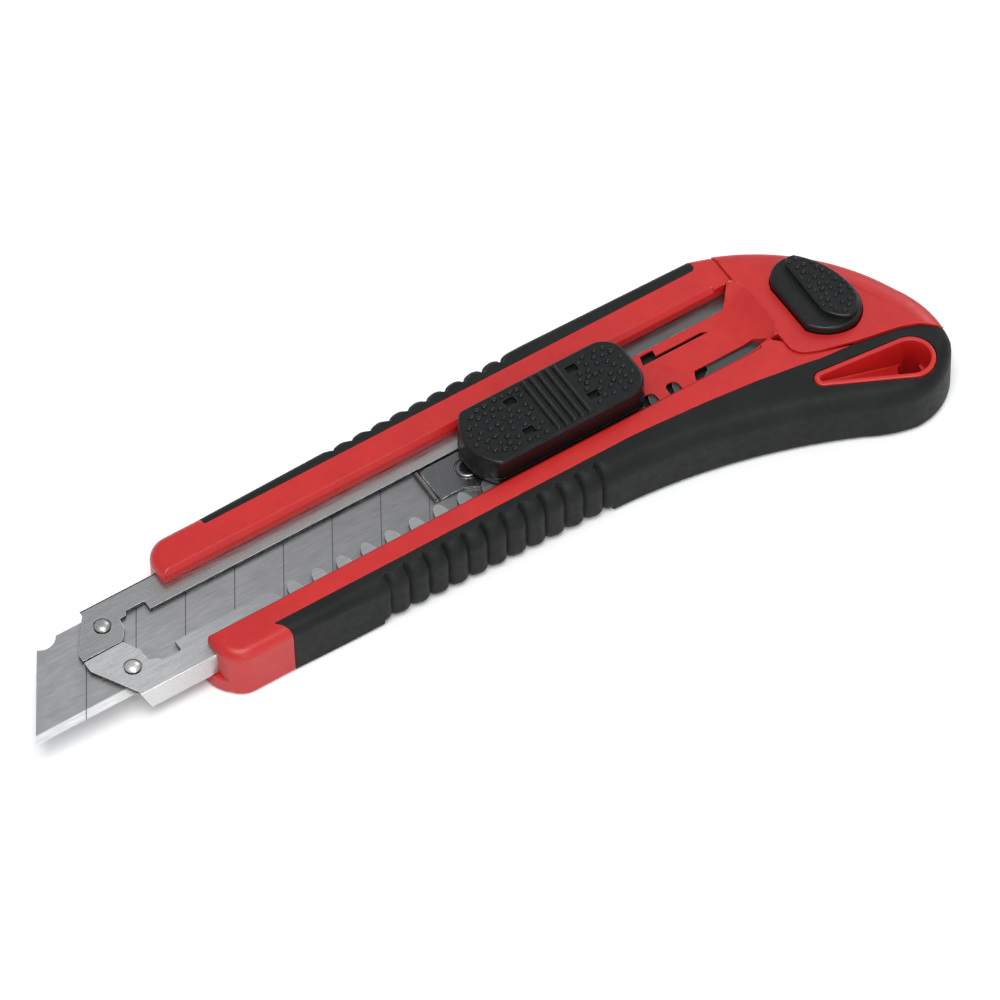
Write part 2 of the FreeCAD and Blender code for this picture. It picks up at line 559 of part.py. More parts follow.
# ---- slider ---------------------------------------------------------------------------------------
cap = new_piece("slider_cap")
cap_plan = [
    ("cap_front + cap_bow_back", "mid_y - cap_bow_half", "cap_bow", 1),
    ("cap_front + cap_bow_back + cap_side_run", "mid_y - cap_half", "cap_front_corner", 1),
    ("cap_rear - cap_corner", "mid_y - cap_half"),
    ("cap_rear", "mid_y - cap_half + cap_corner", "cap_corner", 1),
    ("cap_rear", "mid_y + cap_half - cap_corner"),
    ("cap_rear - cap_corner", "mid_y + cap_half", "cap_corner", 1),
    ("cap_front + cap_bow_back + cap_side_run", "mid_y + cap_half"),
    ("cap_front + cap_bow_back", "mid_y + cap_bow_half", "cap_front_corner", 1),
]
add(cap, outline(cap, "plan", cap_plan, height="cap_base"), "cap_top - cap_base")
round_edges(cap, level_edge("cap_top"), "cap_edge")
ridge = rectangle("cap_front + 13.7", "mid_y - cap_half + cap_edge + 0.1", "cap_front + 13.7 + ridge_width",
                  "mid_y + cap_half - cap_edge - 0.1")
first_ridge = add(cap, outline(cap, "ridge", ridge, height="cap_top - 0.1"), "ridge_rise + 0.1")
repeat_along_x(cap, first_ridge, "ridge_pitch", "5")
hollow = rectangle("cap_front + 10.5", "mid_y - cap_half + cap_wall", "cap_rear - 3",
                   "mid_y + cap_half - cap_wall")
cut(cap, outline(cap, "hollow", hollow, height="cap_base - 0.1"), "cap_top - cap_base - cap_wall")
neck = rectangle("cap_front + cap_setback", "mid_y - leaf_near + 0.1", "cap_front + 9.3", "mid_y + 3.4")
add(cap, outline(cap, "neck", neck, height="leaf_thick + stack_gap"), "cap_base - leaf_thick")
RIVET_PLACES = [("cap_front + 7.4", "mid_y %s 1.8" % sign) for sign in "-+"]
rivet_wells = [(x, y, "rivet_radius") for x, y in RIVET_PLACES]
cut(cap, rings(cap, "rivet_wells", rivet_wells, height="0 * mid_y"), "cap_base + 2")

carrier = new_piece("carrier_plate")
plate = rectangle("blade_length + carrier_gap", "mid_y - carrier_half", "cap_rear - 1.1",
                  "mid_y + carrier_half")
add(carrier, outline(carrier, "plan", plate, height="-blade_thick"), "blade_thick")
cut(carrier, rings(carrier, "rivet_holes", rivet_wells, height="-blade_thick - 1"), "blade_thick + 2")

leaf = new_piece("hook_leaf")
leaf_plan = [
    ("hole_x - leaf_lead", "mid_y - leaf_near"), ("hole_x", "mid_y - leaf_near - 0.5"),
    ("cap_front + 9.3", "mid_y - leaf_near - 0.5"), ("cap_front + 9.3", "mid_y + leaf_far"),
    ("hole_x - leaf_lead", "mid_y + leaf_far"),
]
add(leaf, outline(leaf, "plan", leaf_plan, height="stack_gap"), "leaf_thick")
cut(leaf, rings(leaf, "rivet_holes", rivet_wells, height="-1"), "leaf_thick + 2")
cut(leaf, rings(leaf, "peg_hole", [("hole_x", "mid_y", "peg_radius - 0.8")], height="-1"), "leaf_thick + 2")

peg = new_piece("hook_peg")
add(peg, rings(peg, "foot", [("hole_x", "mid_y", "peg_radius")], height="-blade_thick + stack_gap"),
    "blade_thick")
add(peg, rings(peg, "shank", [("hole_x", "mid_y", "peg_radius - 0.8")], height="0 * mid_y"),
    "leaf_thick + stack_gap + 0.3")

rivets = new_piece("carrier_rivets")
add(rivets, rings(rivets, "shanks", rivet_wells, height="-blade_thick"), "blade_thick + cap_base + 1.5")

lock = new_piece("lock_spring")
clicks = "floor((cap_front + pawl_reach - first_gap) / tooth_pitch)"
pawl_x = "first_gap + %s * tooth_pitch + (tooth_pitch - tooth_width) / 2" % clicks
roof = "cap_top - cap_wall - 0.1"
lock_profile = [
    ("cap_front + 11", "%s - 0.4" % roof), ("cap_front + 14.8", "%s - 0.4" % roof),
    ("%s - 0.9" % pawl_x, "cap_base + 0.1"), ("%s - 0.3" % pawl_x, "lip_gap + 0.1"),
    ("%s + 0.3" % pawl_x, "lip_gap + 0.1"), ("%s + 1.2" % pawl_x, "cap_base + 0.4"),
    ("cap_rear - 5", "cap_base + 1.6"), ("cap_rear - 5", "cap_base + 1.9"),
    ("%s - 0.1" % pawl_x, "cap_base + 0.5"), ("cap_front + 15", "%s - 0.1" % roof),
    ("cap_front + 11", "%s - 0.1" % roof),
]
pawl_mid = "mid_y - cap_half + cap_wall + pawl_width / 2 + running_gap"
add(lock, outline(lock, "profile", lock_profile, "XZ_Plane", "-(%s)" % pawl_mid), "pawl_width",
    midplane=True)

# ---- magazine -------------------------------------------------------------------------------------
follower = new_piece("magazine_follower")
follower_plan = [
    ("rail_x + 2.5", "mid_y - 7"), ("channel_end", "mid_y - 7"), ("channel_end + 2", "mid_y - 5"),
    ("stem_x + 4", "mid_y - 5"), ("stem_x + 4", "mid_y + 5"), ("channel_end + 2", "mid_y + 5"),
    ("channel_end", "mid_y + 7"), ("rail_x + 2.5", "mid_y + 7"),
]
add(follower, outline(follower, "plan", follower_plan, height="-follower_top - follower_thick"),
    "follower_thick")

wave = new_piece("magazine_spring")
floor_z = "-channel_depth + sheet_thick + stack_gap"
crest_z = "-follower_top - follower_thick - stack_gap"
wave_lower = []
wave_upper = []
for i in range(9):
    x = "rail_x + 8 + %d * 9.5" % i
    level = "(%s)" % (floor_z if i % 2 == 0 else crest_z)
    wave_lower.append((x, "%s - 0.25 * %d" % (level, i % 2)))
    wave_upper.append((x, "%s + 0.25 * %d" % (level, 1 - i % 2)))
add(wave, outline(wave, "profile", wave_lower + wave_upper[::-1], "XZ_Plane", "-mid_y"), "8 + 0 * mid_y",
    midplane=True)

# ---- reload button --------------------------------------------------------------------------------
button = new_piece("reload_button")
add(button, outline(button, "plan", button_outline(), height="1 + 0 * mid_y"), "button_high - 1")
front_step = rectangle("button_x - 1", "mid_y - 20", "button_x + 4.8", "mid_y + 20")
cut(button, outline(button, "front_step", front_step, height="button_low"), "button_high")
round_edges(button, level_edge("button_high"), "button_edge")
bar = rectangle("button_x - 1.2", "mid_y - 8.5", "button_x + 13.2", "mid_y - 5")
add(button, outline(button, "stop_bar", bar, height="cover_seat - 1.5"), "1.3 + 0 * mid_y")
add(button, rings(button, "stem", [("stem_x", "mid_y", "stem_radius")], height="-follower_top + stack_gap"),
    "follower_top + 1.5")

coil_bottom = "-tail_deep + spring_wire / 2"
coil_height = "tail_deep - follower_top - follower_thick - spring_wire - stack_gap"
helix = doc.addObject("Part::Helix", "coil_line")
bind(helix, "Radius", "spring_radius - spring_wire / 2")
bind(helix, "Height", coil_height)
bind(helix, "Pitch", "(%s) / spring_turns" % coil_height)
wire = doc.addObject("Part::Circle", "coil_wire")
bind(wire, "Radius", "spring_wire / 2")
bind(wire, "Placement.Base.x", "spring_radius - spring_wire / 2")
wire.Placement.Rotation = FreeCAD.Rotation(FreeCAD.Vector(1, 0, 0), 90)
doc.recompute()
coil = doc.addObject("Part::Sweep", "button_spring")
coil.Sections = [wire]
coil.Spine = (helix, ["Edge1"])
coil.Solid = True
coil.Frenet = True
coil.Label = "button_spring"
bind(coil, "Placement.Base.x", "stem_x - tail_end / 2")
bind(coil, "Placement.Base.y", "(tail_drop - spine_crest_rise) / 2")
bind(coil, "Placement.Base.z", "back_depth + %s" % coil_bottom)
pieces.append(coil)

# ---- screws ---------------------------------------------------------------------------------------
screws = new_piece("cover_screws")
add(screws, rings(screws, "heads", [(x, y, "screw_head_radius") for x, y in SCREW_PLACES],
                  height="-back_depth + 0.1"), "screw_head_depth")
add(screws, rings(screws, "shanks", [(x, y, "screw_radius") for x, y in SCREW_PLACES],
                  height="-back_depth + 0.1"), "screw_length")

# ---- check and write ------------------------------------------------------------------------------
doc.recompute()
for thing in doc.Objects:
    if "Invalid" in thing.State or "Error" in thing.State:
        raise RuntimeError("failed: " + thing.Name)
os.makedirs("parts", exist_ok=True)
for piece in pieces:
    shape = piece.Shape
    if shape.isNull() or not shape.isValid() or not shape.Solids:
        raise RuntimeError("bad shape: " + piece.Label)
    shape.exportStep("parts/%s.step" % piece.Label)
    box = shape.BoundBox
    print("%-20s solids %d  volume %8.1f  x %7.2f %7.2f  y %7.2f %7.2f  z %6.2f %6.2f" % (
        piece.Label, len(shape.Solids), shape.Volume, box.XMin, box.XMax, box.YMin, box.YMax,
        box.ZMin, box.ZMax))
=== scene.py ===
import math
import random

import bmesh
import bpy
from mathutils import Matrix, Vector


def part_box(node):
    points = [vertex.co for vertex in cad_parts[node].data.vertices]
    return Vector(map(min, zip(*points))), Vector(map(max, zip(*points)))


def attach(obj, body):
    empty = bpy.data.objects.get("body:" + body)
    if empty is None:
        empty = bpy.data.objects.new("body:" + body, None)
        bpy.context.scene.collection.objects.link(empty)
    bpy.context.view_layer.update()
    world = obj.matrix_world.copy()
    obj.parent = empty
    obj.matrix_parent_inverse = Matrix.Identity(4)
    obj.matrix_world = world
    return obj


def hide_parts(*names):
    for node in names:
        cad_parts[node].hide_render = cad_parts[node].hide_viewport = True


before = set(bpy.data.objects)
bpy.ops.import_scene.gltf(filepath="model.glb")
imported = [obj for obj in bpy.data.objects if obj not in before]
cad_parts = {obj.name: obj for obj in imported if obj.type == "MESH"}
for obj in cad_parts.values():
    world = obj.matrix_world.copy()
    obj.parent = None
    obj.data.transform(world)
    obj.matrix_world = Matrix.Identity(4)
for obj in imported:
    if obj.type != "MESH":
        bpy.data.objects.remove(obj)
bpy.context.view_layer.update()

# ---- table, light and camera ----------------------------------------------------------------------
# The knife lies on its back on a pale matt table. A broad soft light hangs over it, a second one
# stands low at the edge side, and the room behind the spine stays grey for the steel to mirror.
table_size = 3.0
table_mesh = bpy.data.meshes.new("table")
half = table_size / 2
table_mesh.from_pydata([(-half, -half, 0), (half, -half, 0), (half, half, 0), (-half, half, 0)], [],
                       [(0, 1, 2, 3)])
table = bpy.data.objects.new("table", table_mesh)
bpy.context.scene.collection.objects.link(table)

table_paint = bpy.data.materials.new("table_paint")
table_paint.use_nodes = True
coat = table_paint.node_tree.nodes["Principled BSDF"]
coat.inputs["Base Color"].default_value = (0.93, 0.93, 0.93, 1)
coat.inputs["Roughness"].default_value = 0.9
coat.inputs["Specular IOR Level"].default_value = 0.1
table_mesh.materials.append(table_paint)

bpy.context.scene.view_settings.view_transform = "Standard"
room = bpy.data.worlds.new("room")
room.use_nodes = True
room.node_tree.nodes["Background"].inputs["Color"].default_value = (0.95, 0.97, 1.0, 1)
room.node_tree.nodes["Background"].inputs["Strength"].default_value = 0.62
bpy.context.scene.world = room


def hang_light(name, place, aim, width, power):
    """A square soft box hung at one place and turned towards another."""
    lamp = bpy.data.lights.new(name, "AREA")
    lamp.size = width
    lamp.energy = power
    box = bpy.data.objects.new(name, lamp)
    box.location = place
    box.rotation_euler = (Vector(aim) - Vector(place)).to_track_quat("-Z", "Y").to_euler()
    bpy.context.scene.collection.objects.link(box)


hang_light("overhead_box", (-0.25, -0.35, 1.25), (0, 0, 0), 0.7, 13)
hang_light("edge_box", (-0.2, -1.1, 0.45), (0, 0, 0), 0.6, 2.4)
hang_light("spine_box", (0.9, 0.5, 0.7), (0, 0, 0), 0.4, 2.5)

# A long lens looks down from the cutting-edge side of the tip.
camera = bpy.data.objects.new("camera", bpy.data.cameras.new("camera"))
camera.data.lens = 282.1
camera.data.sensor_width = 36
camera.data.clip_start = 0.01
sight_right = Vector((0.84281, -0.53788, -0.01905))
sight_up = Vector((0.44138, 0.67049, 0.59634))
turned = Matrix((sight_right, sight_up, sight_right.cross(sight_up))).transposed().to_4x4()
camera.matrix_world = Matrix.Translation((-0.41825, -0.7030, 1.1100)) @ turned
bpy.context.scene.collection.objects.link(camera)
bpy.context.scene.camera = camera

# ---- moulded body ---------------------------------------------------------------------------------
# The body is one injection moulding in red ABS: two rails over the steel channel, a blunt nose and a
# curved tail. A sunk web runs under the soft grips and carries the lanyard eye through them.
blade_low, blade_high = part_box("active_blade")
tip = Vector((blade_low.x, blade_low.y, blade_high.z))


def at(x, y, z):
    """A place on the knife in metres. x runs back from the blade's tip, y from the cutting edge
    towards the spine and z up from the blade's face, all in millimetres."""
    return tip + Vector((x, y, z)) / 1000


def trace(steps, gap=1.0):
    """Points round a closed outline. A step is (x, y), or (x, y, radius) for an arc to that point
    that turns left where the radius is positive and right where it is negative."""
    points = []
    for i, step in enumerate(steps):
        start, end = Vector(steps[i - 1][:2]), Vector(step[:2])
        chord = end - start
        count = max(1, round(chord.length / gap))
        if len(step) == 2:
            points += [start.lerp(end, k / count)[:] for k in range(1, count + 1)]
            continue
        radius = step[2]
        side = Vector((-chord.y, chord.x)).normalized() * math.copysign(1, radius)
        centre = (start + end) / 2 + side * math.sqrt(radius ** 2 - chord.length_squared / 4)
        sweep = 2 * math.asin(chord.length / 2 / radius)
        arm = start - centre
        for k in range(1, count + 1):
            turn = sweep * k / count
            points.append((centre.x + arm.x * math.cos(turn) - arm.y * math.sin(turn),
                           centre.y + arm.x * math.sin(turn) + arm.y * math.cos(turn)))
    return points


def drawn_in(points, depths):
    """A counterclockwise outline moved inwards by its own depth at each point."""
    moved = []
    for i, here in enumerate(points):
        here, before = Vector(here), Vector(points[i - 1])
        after = Vector(points[(i + 1) % len(points)])
        into, out = (here - before).normalized(), (after - here).normalized()
        first = Vector((-into.y, into.x))
        middle = (first + Vector((-out.y, out.x))).normalized()
        moved.append((here + middle * depths[i] / max(0.5, middle.dot(first)))[:])
    return moved


def skin(name, rings):
    """A closed solid skinned over rings of points that all have the same count."""
    solid = bmesh.new()
    rows = [[solid.verts.new(at(*point)) for point in ring] for ring in rings]
    count = len(rings[0])
    for row, above in zip(rows, rows[1:]):
        for i in range(count):
            j = (i + 1) % count
            solid.faces.new((row[i], row[j], above[j], above[i]))
    solid.faces.new(rows[0][::-1])
    solid.faces.new(rows[-1])
    bmesh.ops.recalc_face_normals(solid, faces=solid.faces)
    mesh = bpy.data.meshes.new(name)
    solid.to_mesh(mesh)
    solid.free()
    piece = bpy.data.objects.new(name, mesh)
    bpy.context.scene.collection.objects.link(piece)
    return piece


def moulded(name, points, low, high, foot=(0, 0), brow=(0, 0), share=lambda point: 1.0, steps=6):
    """A slab on an outline. foot and brow are how far the rounding of its lower and upper edge
    reaches in and along the wall; share is how much of that each point of the outline gets."""
    shares = [share(point) for point in points]
    rings = []
    for level, (reach, rise), up in ((low, foot, 1), (high, brow, -1)):
        turns = [90 * k / steps for k in range(steps + 1)] if reach else [0]
        for turn in (turns[::-1] if up == 1 else turns):
            inward = reach * (1 - math.cos(math.radians(turn)))
            height = rise * (1 - math.sin(math.radians(turn)))
            ring = drawn_in(points, [inward * s for s in shares])
            rings.append([(x, y, level + up * height * s) for (x, y), s in zip(ring, shares)])
    return skin(name, rings)


def settle(piece):
    """Work a piece's pending steps into its mesh."""
    bpy.context.view_layer.update()
    graph = bpy.context.evaluated_depsgraph_get()
    mesh = bpy.data.meshes.new_from_object(piece.evaluated_get(graph))
    piece.modifiers.clear()
    piece.data = mesh


def work(piece, tool, operation="DIFFERENCE", keep_tool=False):
    """Cut a tool's shape out of a piece, or weld it on."""
    step = piece.modifiers.new(operation, "BOOLEAN")
    step.operation = operation
    step.solver = "EXACT"
    step.object = tool
    settle(piece)
    if not keep_tool:
        bpy.data.objects.remove(tool)


def break_edges(piece, width, segments=2, angle=35, above=-1.0):
    """Round the sharp edges of a piece that lie above a height, by a small width in millimetres."""
    drawing = bmesh.new()
    drawing.from_mesh(piece.data)
    share = drawing.edges.layers.float.new("bevel_weight_edge")
    for edge in drawing.edges:
        sharp = edge.is_manifold and edge.calc_face_angle() > math.radians(angle)
        edge[share] = 1 if sharp and min(corner.co.z for corner in edge.verts) > above else 0
    drawing.to_mesh(piece.data)
    drawing.free()
    step = piece.modifiers.new("edges", "BEVEL")
    step.width = width / 1000
    step.segments = segments
    step.limit_method = "WEIGHT"
    step.use_clamp_overlap = False
    step.miter_outer = "MITER_ARC"
    settle(piece)


def smooth(piece, angle=42):
    """Shade the rounded faces smooth, and keep the flats flat and the sharp edges sharp."""
    piece.data.shade_smooth()
    piece.data.set_sharp_from_angle(angle=math.radians(angle))
    step = piece.modifiers.new("shading", "WEIGHTED_NORMAL")
    step.weight = 80
    step.keep_sharp = True
    settle(piece)


def bar(name, profile, start, end):
    """A straight bar with one (y, z) profile from one x to another."""
    return skin(name, [[(x, y, z) for y, z in profile] for x in (start, end)])


def drop(narrow, wide, grow=0.0, sides=40):
    """The outline round two circles, each (x, y, radius), as one drop."""
    reach = math.hypot(wide[0] - narrow[0], wide[1] - narrow[1])
    lean = math.atan2(wide[1] - narrow[1], wide[0] - narrow[0])
    spread = math.acos((narrow[2] - wide[2]) / reach)
    points = []
    for (x, y, radius), start, sweep in ((wide, lean - spread, 2 * spread),
                                         (narrow, lean + spread, 2 * math.pi - 2 * spread)):
        count = sides if sweep > 3 else sides // 2
        for k in range(count + 1):
            turn = start + sweep * k / count
            points.append((x + (radius + grow) * math.cos(turn), y + (radius + grow) * math.sin(turn)))
    return points


def rounded(corners, sides=8):
    """A closed outline with rounded corners, each (x, y, radius)."""
    points = []
    for i, (x, y, radius) in enumerate(corners):
        here = Vector((x, y))
        before = (Vector(corners[i - 1][:2]) - here).normalized()
        after = (Vector(corners[(i + 1) % len(corners)][:2]) - here).normalized()
        if not radius:
            points.append((x, y))
            continue
        half_angle = before.angle(after) / 2
        centre = here + (before + after).normalized() * radius / math.sin(half_angle)
        reach = radius / math.tan(half_angle)
        start, end = here + before * reach - centre, here + after * reach - centre
        first, last = math.atan2(start.y, start.x), math.atan2(end.y, end.x)
        sweep = (last - first + math.pi) % (2 * math.pi) - math.pi
        points += [(centre.x + radius * math.cos(first + sweep * k / sides),
                    centre.y + radius * math.sin(first + sweep * k / sides)) for k in range(sides + 1)]
    return points


back, face = -8.1, 3.7
belly = [(47.5, -6.2), (112, -7.9), (158.9, -18.9, -117), (168, -22.2, 25.4), (179.5, -15.5, 12.3)]
tail = [(177.7, -0.7, 21), (150, 25.0, 43.3)]
spine = [(115, 25.6), (47.5, 24.2)]
nose = [(40, 24.2), (35.5, 19.7, 4.5), (35.5, -1.7), (40, -6.2, 4.5)]
rim = trace(belly + tail + spine + nose)
hull_round, foot_round = 2.0, 0.9
hull_foot, hull_brow = (foot_round, foot_round), (hull_round, hull_round)
hull = moulded("moulded_body", rim, back, face, hull_foot, hull_brow)

near_seam_y, far_seam_y = -2.85, 22.1
near_seam = [(48.4, -6.6), (48.1, -5.2), (47.4, -3.9), (46.4, near_seam_y), (120, near_seam_y),
             (125, -3.1), (135, -3.8), (145, -4.8), (153, -6.0), (158, -6.9), (165, -7.5), (173, -9.0),
             (176.3, -10.3), (178.4, -12.0), (180.4, -13.4)]
outside_near = [(190, -13.4), (190, -40), (48.4, -40)]
near_zone = trace((near_seam + outside_near)[::-1])
far_zone = trace([(47.5, 30), (47.5, far_seam_y), (149.4, far_seam_y), (150.0, far_seam_y + 0.6, 0.6),
                  (150.0, 30)])


def zone_tool(points):
    """A tool through the whole thickness of the knife."""
    return moulded("zone", points, back - 2, face + 3)


work(hull, zone_tool(near_zone))
work(hull, zone_tool(far_zone))

web_skin = 1.9
web_outline = drawn_in(rim, [web_skin] * len(rim))
web = moulded("web", web_outline, back + web_skin, face - web_skin)
work(hull, web, "UNION", keep_tool=True)

nose_lip = trace([(34.0, 0.9), (40.0, -6.0, 7), (41, -6.0), (41, 24.0), (40, 24.0), (34.0, 17.1, 7)], 0.6)
lip = moulded("lip", nose_lip, back + 0.02, -4.4, hull_foot, (0.2, 0.2))
work(hull, lip, "UNION")

eye_narrow, eye_wide = (155.4, -10.8, 1.65), (170.9, -15.3, 4.55)
eye_top = face + 0.15
tower = moulded("eye", drop(eye_narrow, eye_wide), back, eye_top, (0.6, 0.6), (0.3, 0.3))
work(hull, tower, "UNION")
bowl_wall, bowl_shallow, bowl_deep = 0.85, 2.3, -1.7
bowl_rings = []
for share, sink in ((1.08, 0.3), (1.0, 0.02), (0.9, -0.1), (0.12, -0.62), (0.0, -0.8)):
    ring = []
    for x, y in drop(eye_narrow, eye_wide, sink - bowl_wall):
        run = min(1, max(0, (x - eye_narrow[0]) / (eye_wide[0] - eye_narrow[0])))
        floor_here = bowl_shallow + (bowl_deep - bowl_shallow) * run
        ring.append((x, y, floor_here + (eye_top - floor_here) * share))
    bowl_rings.append(ring)
work(hull, skin("bowl", bowl_rings))


def ring_of(x, y, radius, sides=32):
    """The outline of a circle."""
    return [(x + radius * math.cos(2 * math.pi * k / sides), y + radius * math.sin(2 * math.pi * k / sides))
            for k in range(sides)]


eye_hole = (171.5, -14.4, 2.1)
work(hull, moulded("hole", ring_of(*eye_hole), back - 1, bowl_deep + 2.5))

slot_near, slot_far = 1.65, 16.35
rail_chamfer, rail_drop = 0.85, 1.0
channel_room = [(-1.7, -4.35), (19.7, -4.35), (19.7, 0.95), (slot_far, 0.95), (slot_far, face + 2),
                (slot_near, face + 2), (slot_near, 0.95), (-1.7, 0.95)]
work(hull, bar("channel_room", channel_room, 20, 153.05))
for wall, out in ((slot_near, -1), (slot_far, 1)):
    edge_cut = [(wall - out * 0.5, face - rail_drop - 0.59),
                (wall + out * 2 * rail_chamfer, face + rail_drop), (wall - out * 0.5, face + rail_drop)]
    work(hull, bar("edge_cut", edge_cut, 20, 150.2))

cover_seat, cover_face = 2.7, 4.2
cover_step = [(154.0, 2.0), (154.0, -2.0), (154.8, -3.7, 4), (156.4, -4.8, 4), (158, -5.5), (162, -6.6)]
cover_near = cover_step + [(165, -7.38), (169, -8.15), (173, -8.93), (176.3, -10.22), (178.4, -11.92),
                           (180.4, -13.32)]
cover_room = trace([(154.0, 30)] + cover_step + [(164, -7.3), (165.6, -9), (173, -11), (190, -15), (190, 30)])
work(hull, moulded("cover_room", cover_room, cover_seat, face + 4))
tail_room = trace([(152.5, 1.5), (158.6, -4.5), (166.6, -6), (172.4, 0), (172.4, 4.5), (165.6, 15),
                   (157.6, 16.5), (152.5, 16.5)])
work(hull, moulded("tail_room", tail_room, -6.4, face + 2))
screw_places = [(156.8, 18.0), (174.5, -4.5)]
for x, y in screw_places:
    work(hull, moulded("head_well", ring_of(x, y, 2.75), back - 1, back + 1.58))
    work(hull, moulded("shank_hole", ring_of(x, y, 1.45), back - 1, face + 1))
    work(hull, moulded("boss_well", ring_of(x, y, 2.6), -4.5, face + 1))
break_edges(hull, 0.2, above=at(0, 0, back + 0.1).z)
smooth(hull)


def stock(name):
    """A new finish, with its node tree and its shader."""
    finish = bpy.data.materials.new(name)
    finish.use_nodes = True
    tree = finish.node_tree
    return finish, tree, tree.nodes["Principled BSDF"]


def knit(tree, kind, settings=None, **feeds):
    """A node with its plain settings, fed by other nodes' outputs or by numbers."""
    node = tree.nodes.new(kind)
    for key, value in (settings or {}).items():
        setattr(node, key, value)
    for key, feed in feeds.items():
        socket = node.inputs[int(key[1:]) if key[0] == "i" and key[1:].isdigit() else key.replace("_", " ")]
        if isinstance(feed, bpy.types.NodeSocket):
            tree.links.new(feed, socket)
        else:
            socket.default_value = feed
    return node


def speckle(tree, scale, detail=4.0, stretch=(1, 1, 1)):
    """Cloudy noise fixed to the piece itself; scale is in spots per metre."""
    place = knit(tree, "ShaderNodeTexCoord").outputs["Object"]
    laid = knit(tree, "ShaderNodeMapping", Vector=place, Scale=stretch).outputs[0]
    return knit(tree, "ShaderNodeTexNoise", Vector=laid, Scale=scale, Detail=detail).outputs[0]


def between(tree, factor, low, high, start=0.0, end=1.0):
    """A number that goes from one value to another as a factor goes from start to end."""
    return knit(tree, "ShaderNodeMapRange", i0=factor, i1=start, i2=end, i3=low, i4=high).outputs[0]


def blend_of(tree, factor, first, second):
    """A colour between two others."""
    mixer = knit(tree, "ShaderNodeMix", {"data_type": "RGBA"}, i0=factor)
    for index, colour in ((6, first), (7, second)):
        if isinstance(colour, bpy.types.NodeSocket):
            tree.links.new(colour, mixer.inputs[index])
        else:
            mixer.inputs[index].default_value = (*colour, 1)
    return mixer.outputs[2]


def product(tree, first, second):
    """One textured number times another."""
    return knit(tree, "ShaderNodeMath", {"operation": "MULTIPLY"}, i0=first, i1=second).outputs[0]


def edge_wear_and_highlight(tree, width=0.0005):
    """One on the sharp edges, nought on the flats, broken up by noise: rubbing wear from hands and
    drawers, and a painted highlight along the edges.
    """
    rounded = knit(tree, "ShaderNodeBevel", {"samples": 4}, Radius=width).outputs[0]
    plain = knit(tree, "ShaderNodeNewGeometry").outputs["Normal"]
    alike = knit(tree, "ShaderNodeVectorMath", {"operation": "DOT_PRODUCT"}, i0=rounded, i1=plain)
    alike = alike.outputs["Value"]
    rubbed_and_lit = between(tree, alike, 1, 0, 0.86, 0.99)
    return product(tree, rubbed_and_lit, between(tree, speckle(tree, 900), 0.1, 1, 0.42, 0.62))


def moulded_plastic(name, colour, shade, rubbed_and_lit, gloss, grain_scale, grain_height, sheen=0.5):
    """A moulded plastic: a faint cloud in its colour, a fine spark-eroded grain, uneven gloss and
    edges painted lighter, partly as rubbing wear and partly as a painted highlight."""
    finish, tree, shader = stock(name)
    shader.inputs["Specular IOR Level"].default_value = sheen
    cloud = between(tree, speckle(tree, 120, 6), 0, 1, 0.35, 0.65)
    colour_now = blend_of(tree, cloud, colour, shade)
    # Edges painted lighter: partly rubbing wear, partly a painted highlight.
    colour_now = blend_of(tree, product(tree, edge_wear_and_highlight(tree), 0.45), colour_now, rubbed_and_lit)
    tree.links.new(colour_now, shader.inputs["Base Color"])
    tree.links.new(between(tree, speckle(tree, 700, 5), gloss - 0.05, gloss + 0.09, 0.3, 0.7),
                   shader.inputs["Roughness"])
    grain = knit(tree, "ShaderNodeBump", Height=speckle(tree, grain_scale, 3), Strength=grain_height,
                 Distance=0.0001).outputs[0]
    tree.links.new(grain, shader.inputs["Normal"])
    return finish


def dress(piece, finish):
    """Give a piece one finish all over."""
    piece.data.materials.clear()
    piece.data.materials.append(finish)


red_abs = moulded_plastic("red_abs", (0.45, 0.011, 0.009), (0.41, 0.008, 0.008), (0.58, 0.05, 0.045),
                          0.36, 5200, 0.12)
dress(hull, red_abs)
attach(hull, "handle")
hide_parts("handle_shell")

# ---- soft grips -----------------------------------------------------------------------------------
# Both grips are charcoal rubber moulded over the web, flush with the hard body. The one along the
# cutting edge wraps the whole tail; both have a row of finger ribs with narrow valleys between them.
rib_pitch = 3.93


def swell(point):
    """How much rounder than the hard body the grip is at a point of its outline."""
    x, y = point
    grown_in, grown_out = min(1, max(0, (x - 58) / 14)), min(1, max(0, (-13.6 - y) / 6))
    if y > 0:
        return 1
    return 1 + 0.7 * (grown_in if x < 160 else min(grown_in, 1 if x < 170 else grown_out))


def valley(x, rim_y, side, seam_y, depth, brow_bend, foot_bend):
    """A tool for one valley: a sharp-bottomed groove over the rounded edge, fading out by the seams.
    side is -1 on the cutting-edge side and 1 on the spine side."""
    across = [(-1.9, 1.7), (-1.9, 0.03), (-1.2, -0.08), (-0.7, -0.24), (-0.35, -0.52), (0, -1),
              (0.35, -0.52), (0.7, -0.24), (1.2, -0.08), (1.9, 0.03), (1.9, 1.7)]
    rings = []
    for level, bend, up in ((face, brow_bend, 1), (back, foot_bend, -1)):
        flat, quarter = abs(rim_y - seam_y) - bend, bend * math.pi / 2
        marks = sorted([0.3, 0.8, 1.3, 1.9, 2.5] + [flat + quarter * k / 6 for k in range(1, 7)])
        half_rings = []
        for mark in (mark for mark in marks if mark > 0):
            turn = min(max(mark - flat, 0) / bend, math.pi / 2)
            inward = max(flat - mark, 0) + bend * (1 - math.sin(turn))
            lowered = bend * (1 - math.cos(turn)) + max(mark - flat - quarter, 0)
            fade = min(1, max(0, (mark - 0.7) / 1.3))
            lift = 1.25 * (1 - fade * fade * (3 - 2 * fade))
            half_rings.append([(x + along, rim_y - side * (inward - math.sin(turn) * (h * depth + lift)),
                                level - up * (lowered - math.cos(turn) * (h * depth + lift)))
                               for along, h in across])
        rings += half_rings if up == 1 else half_rings[::-1]
    return skin("valley", rings)


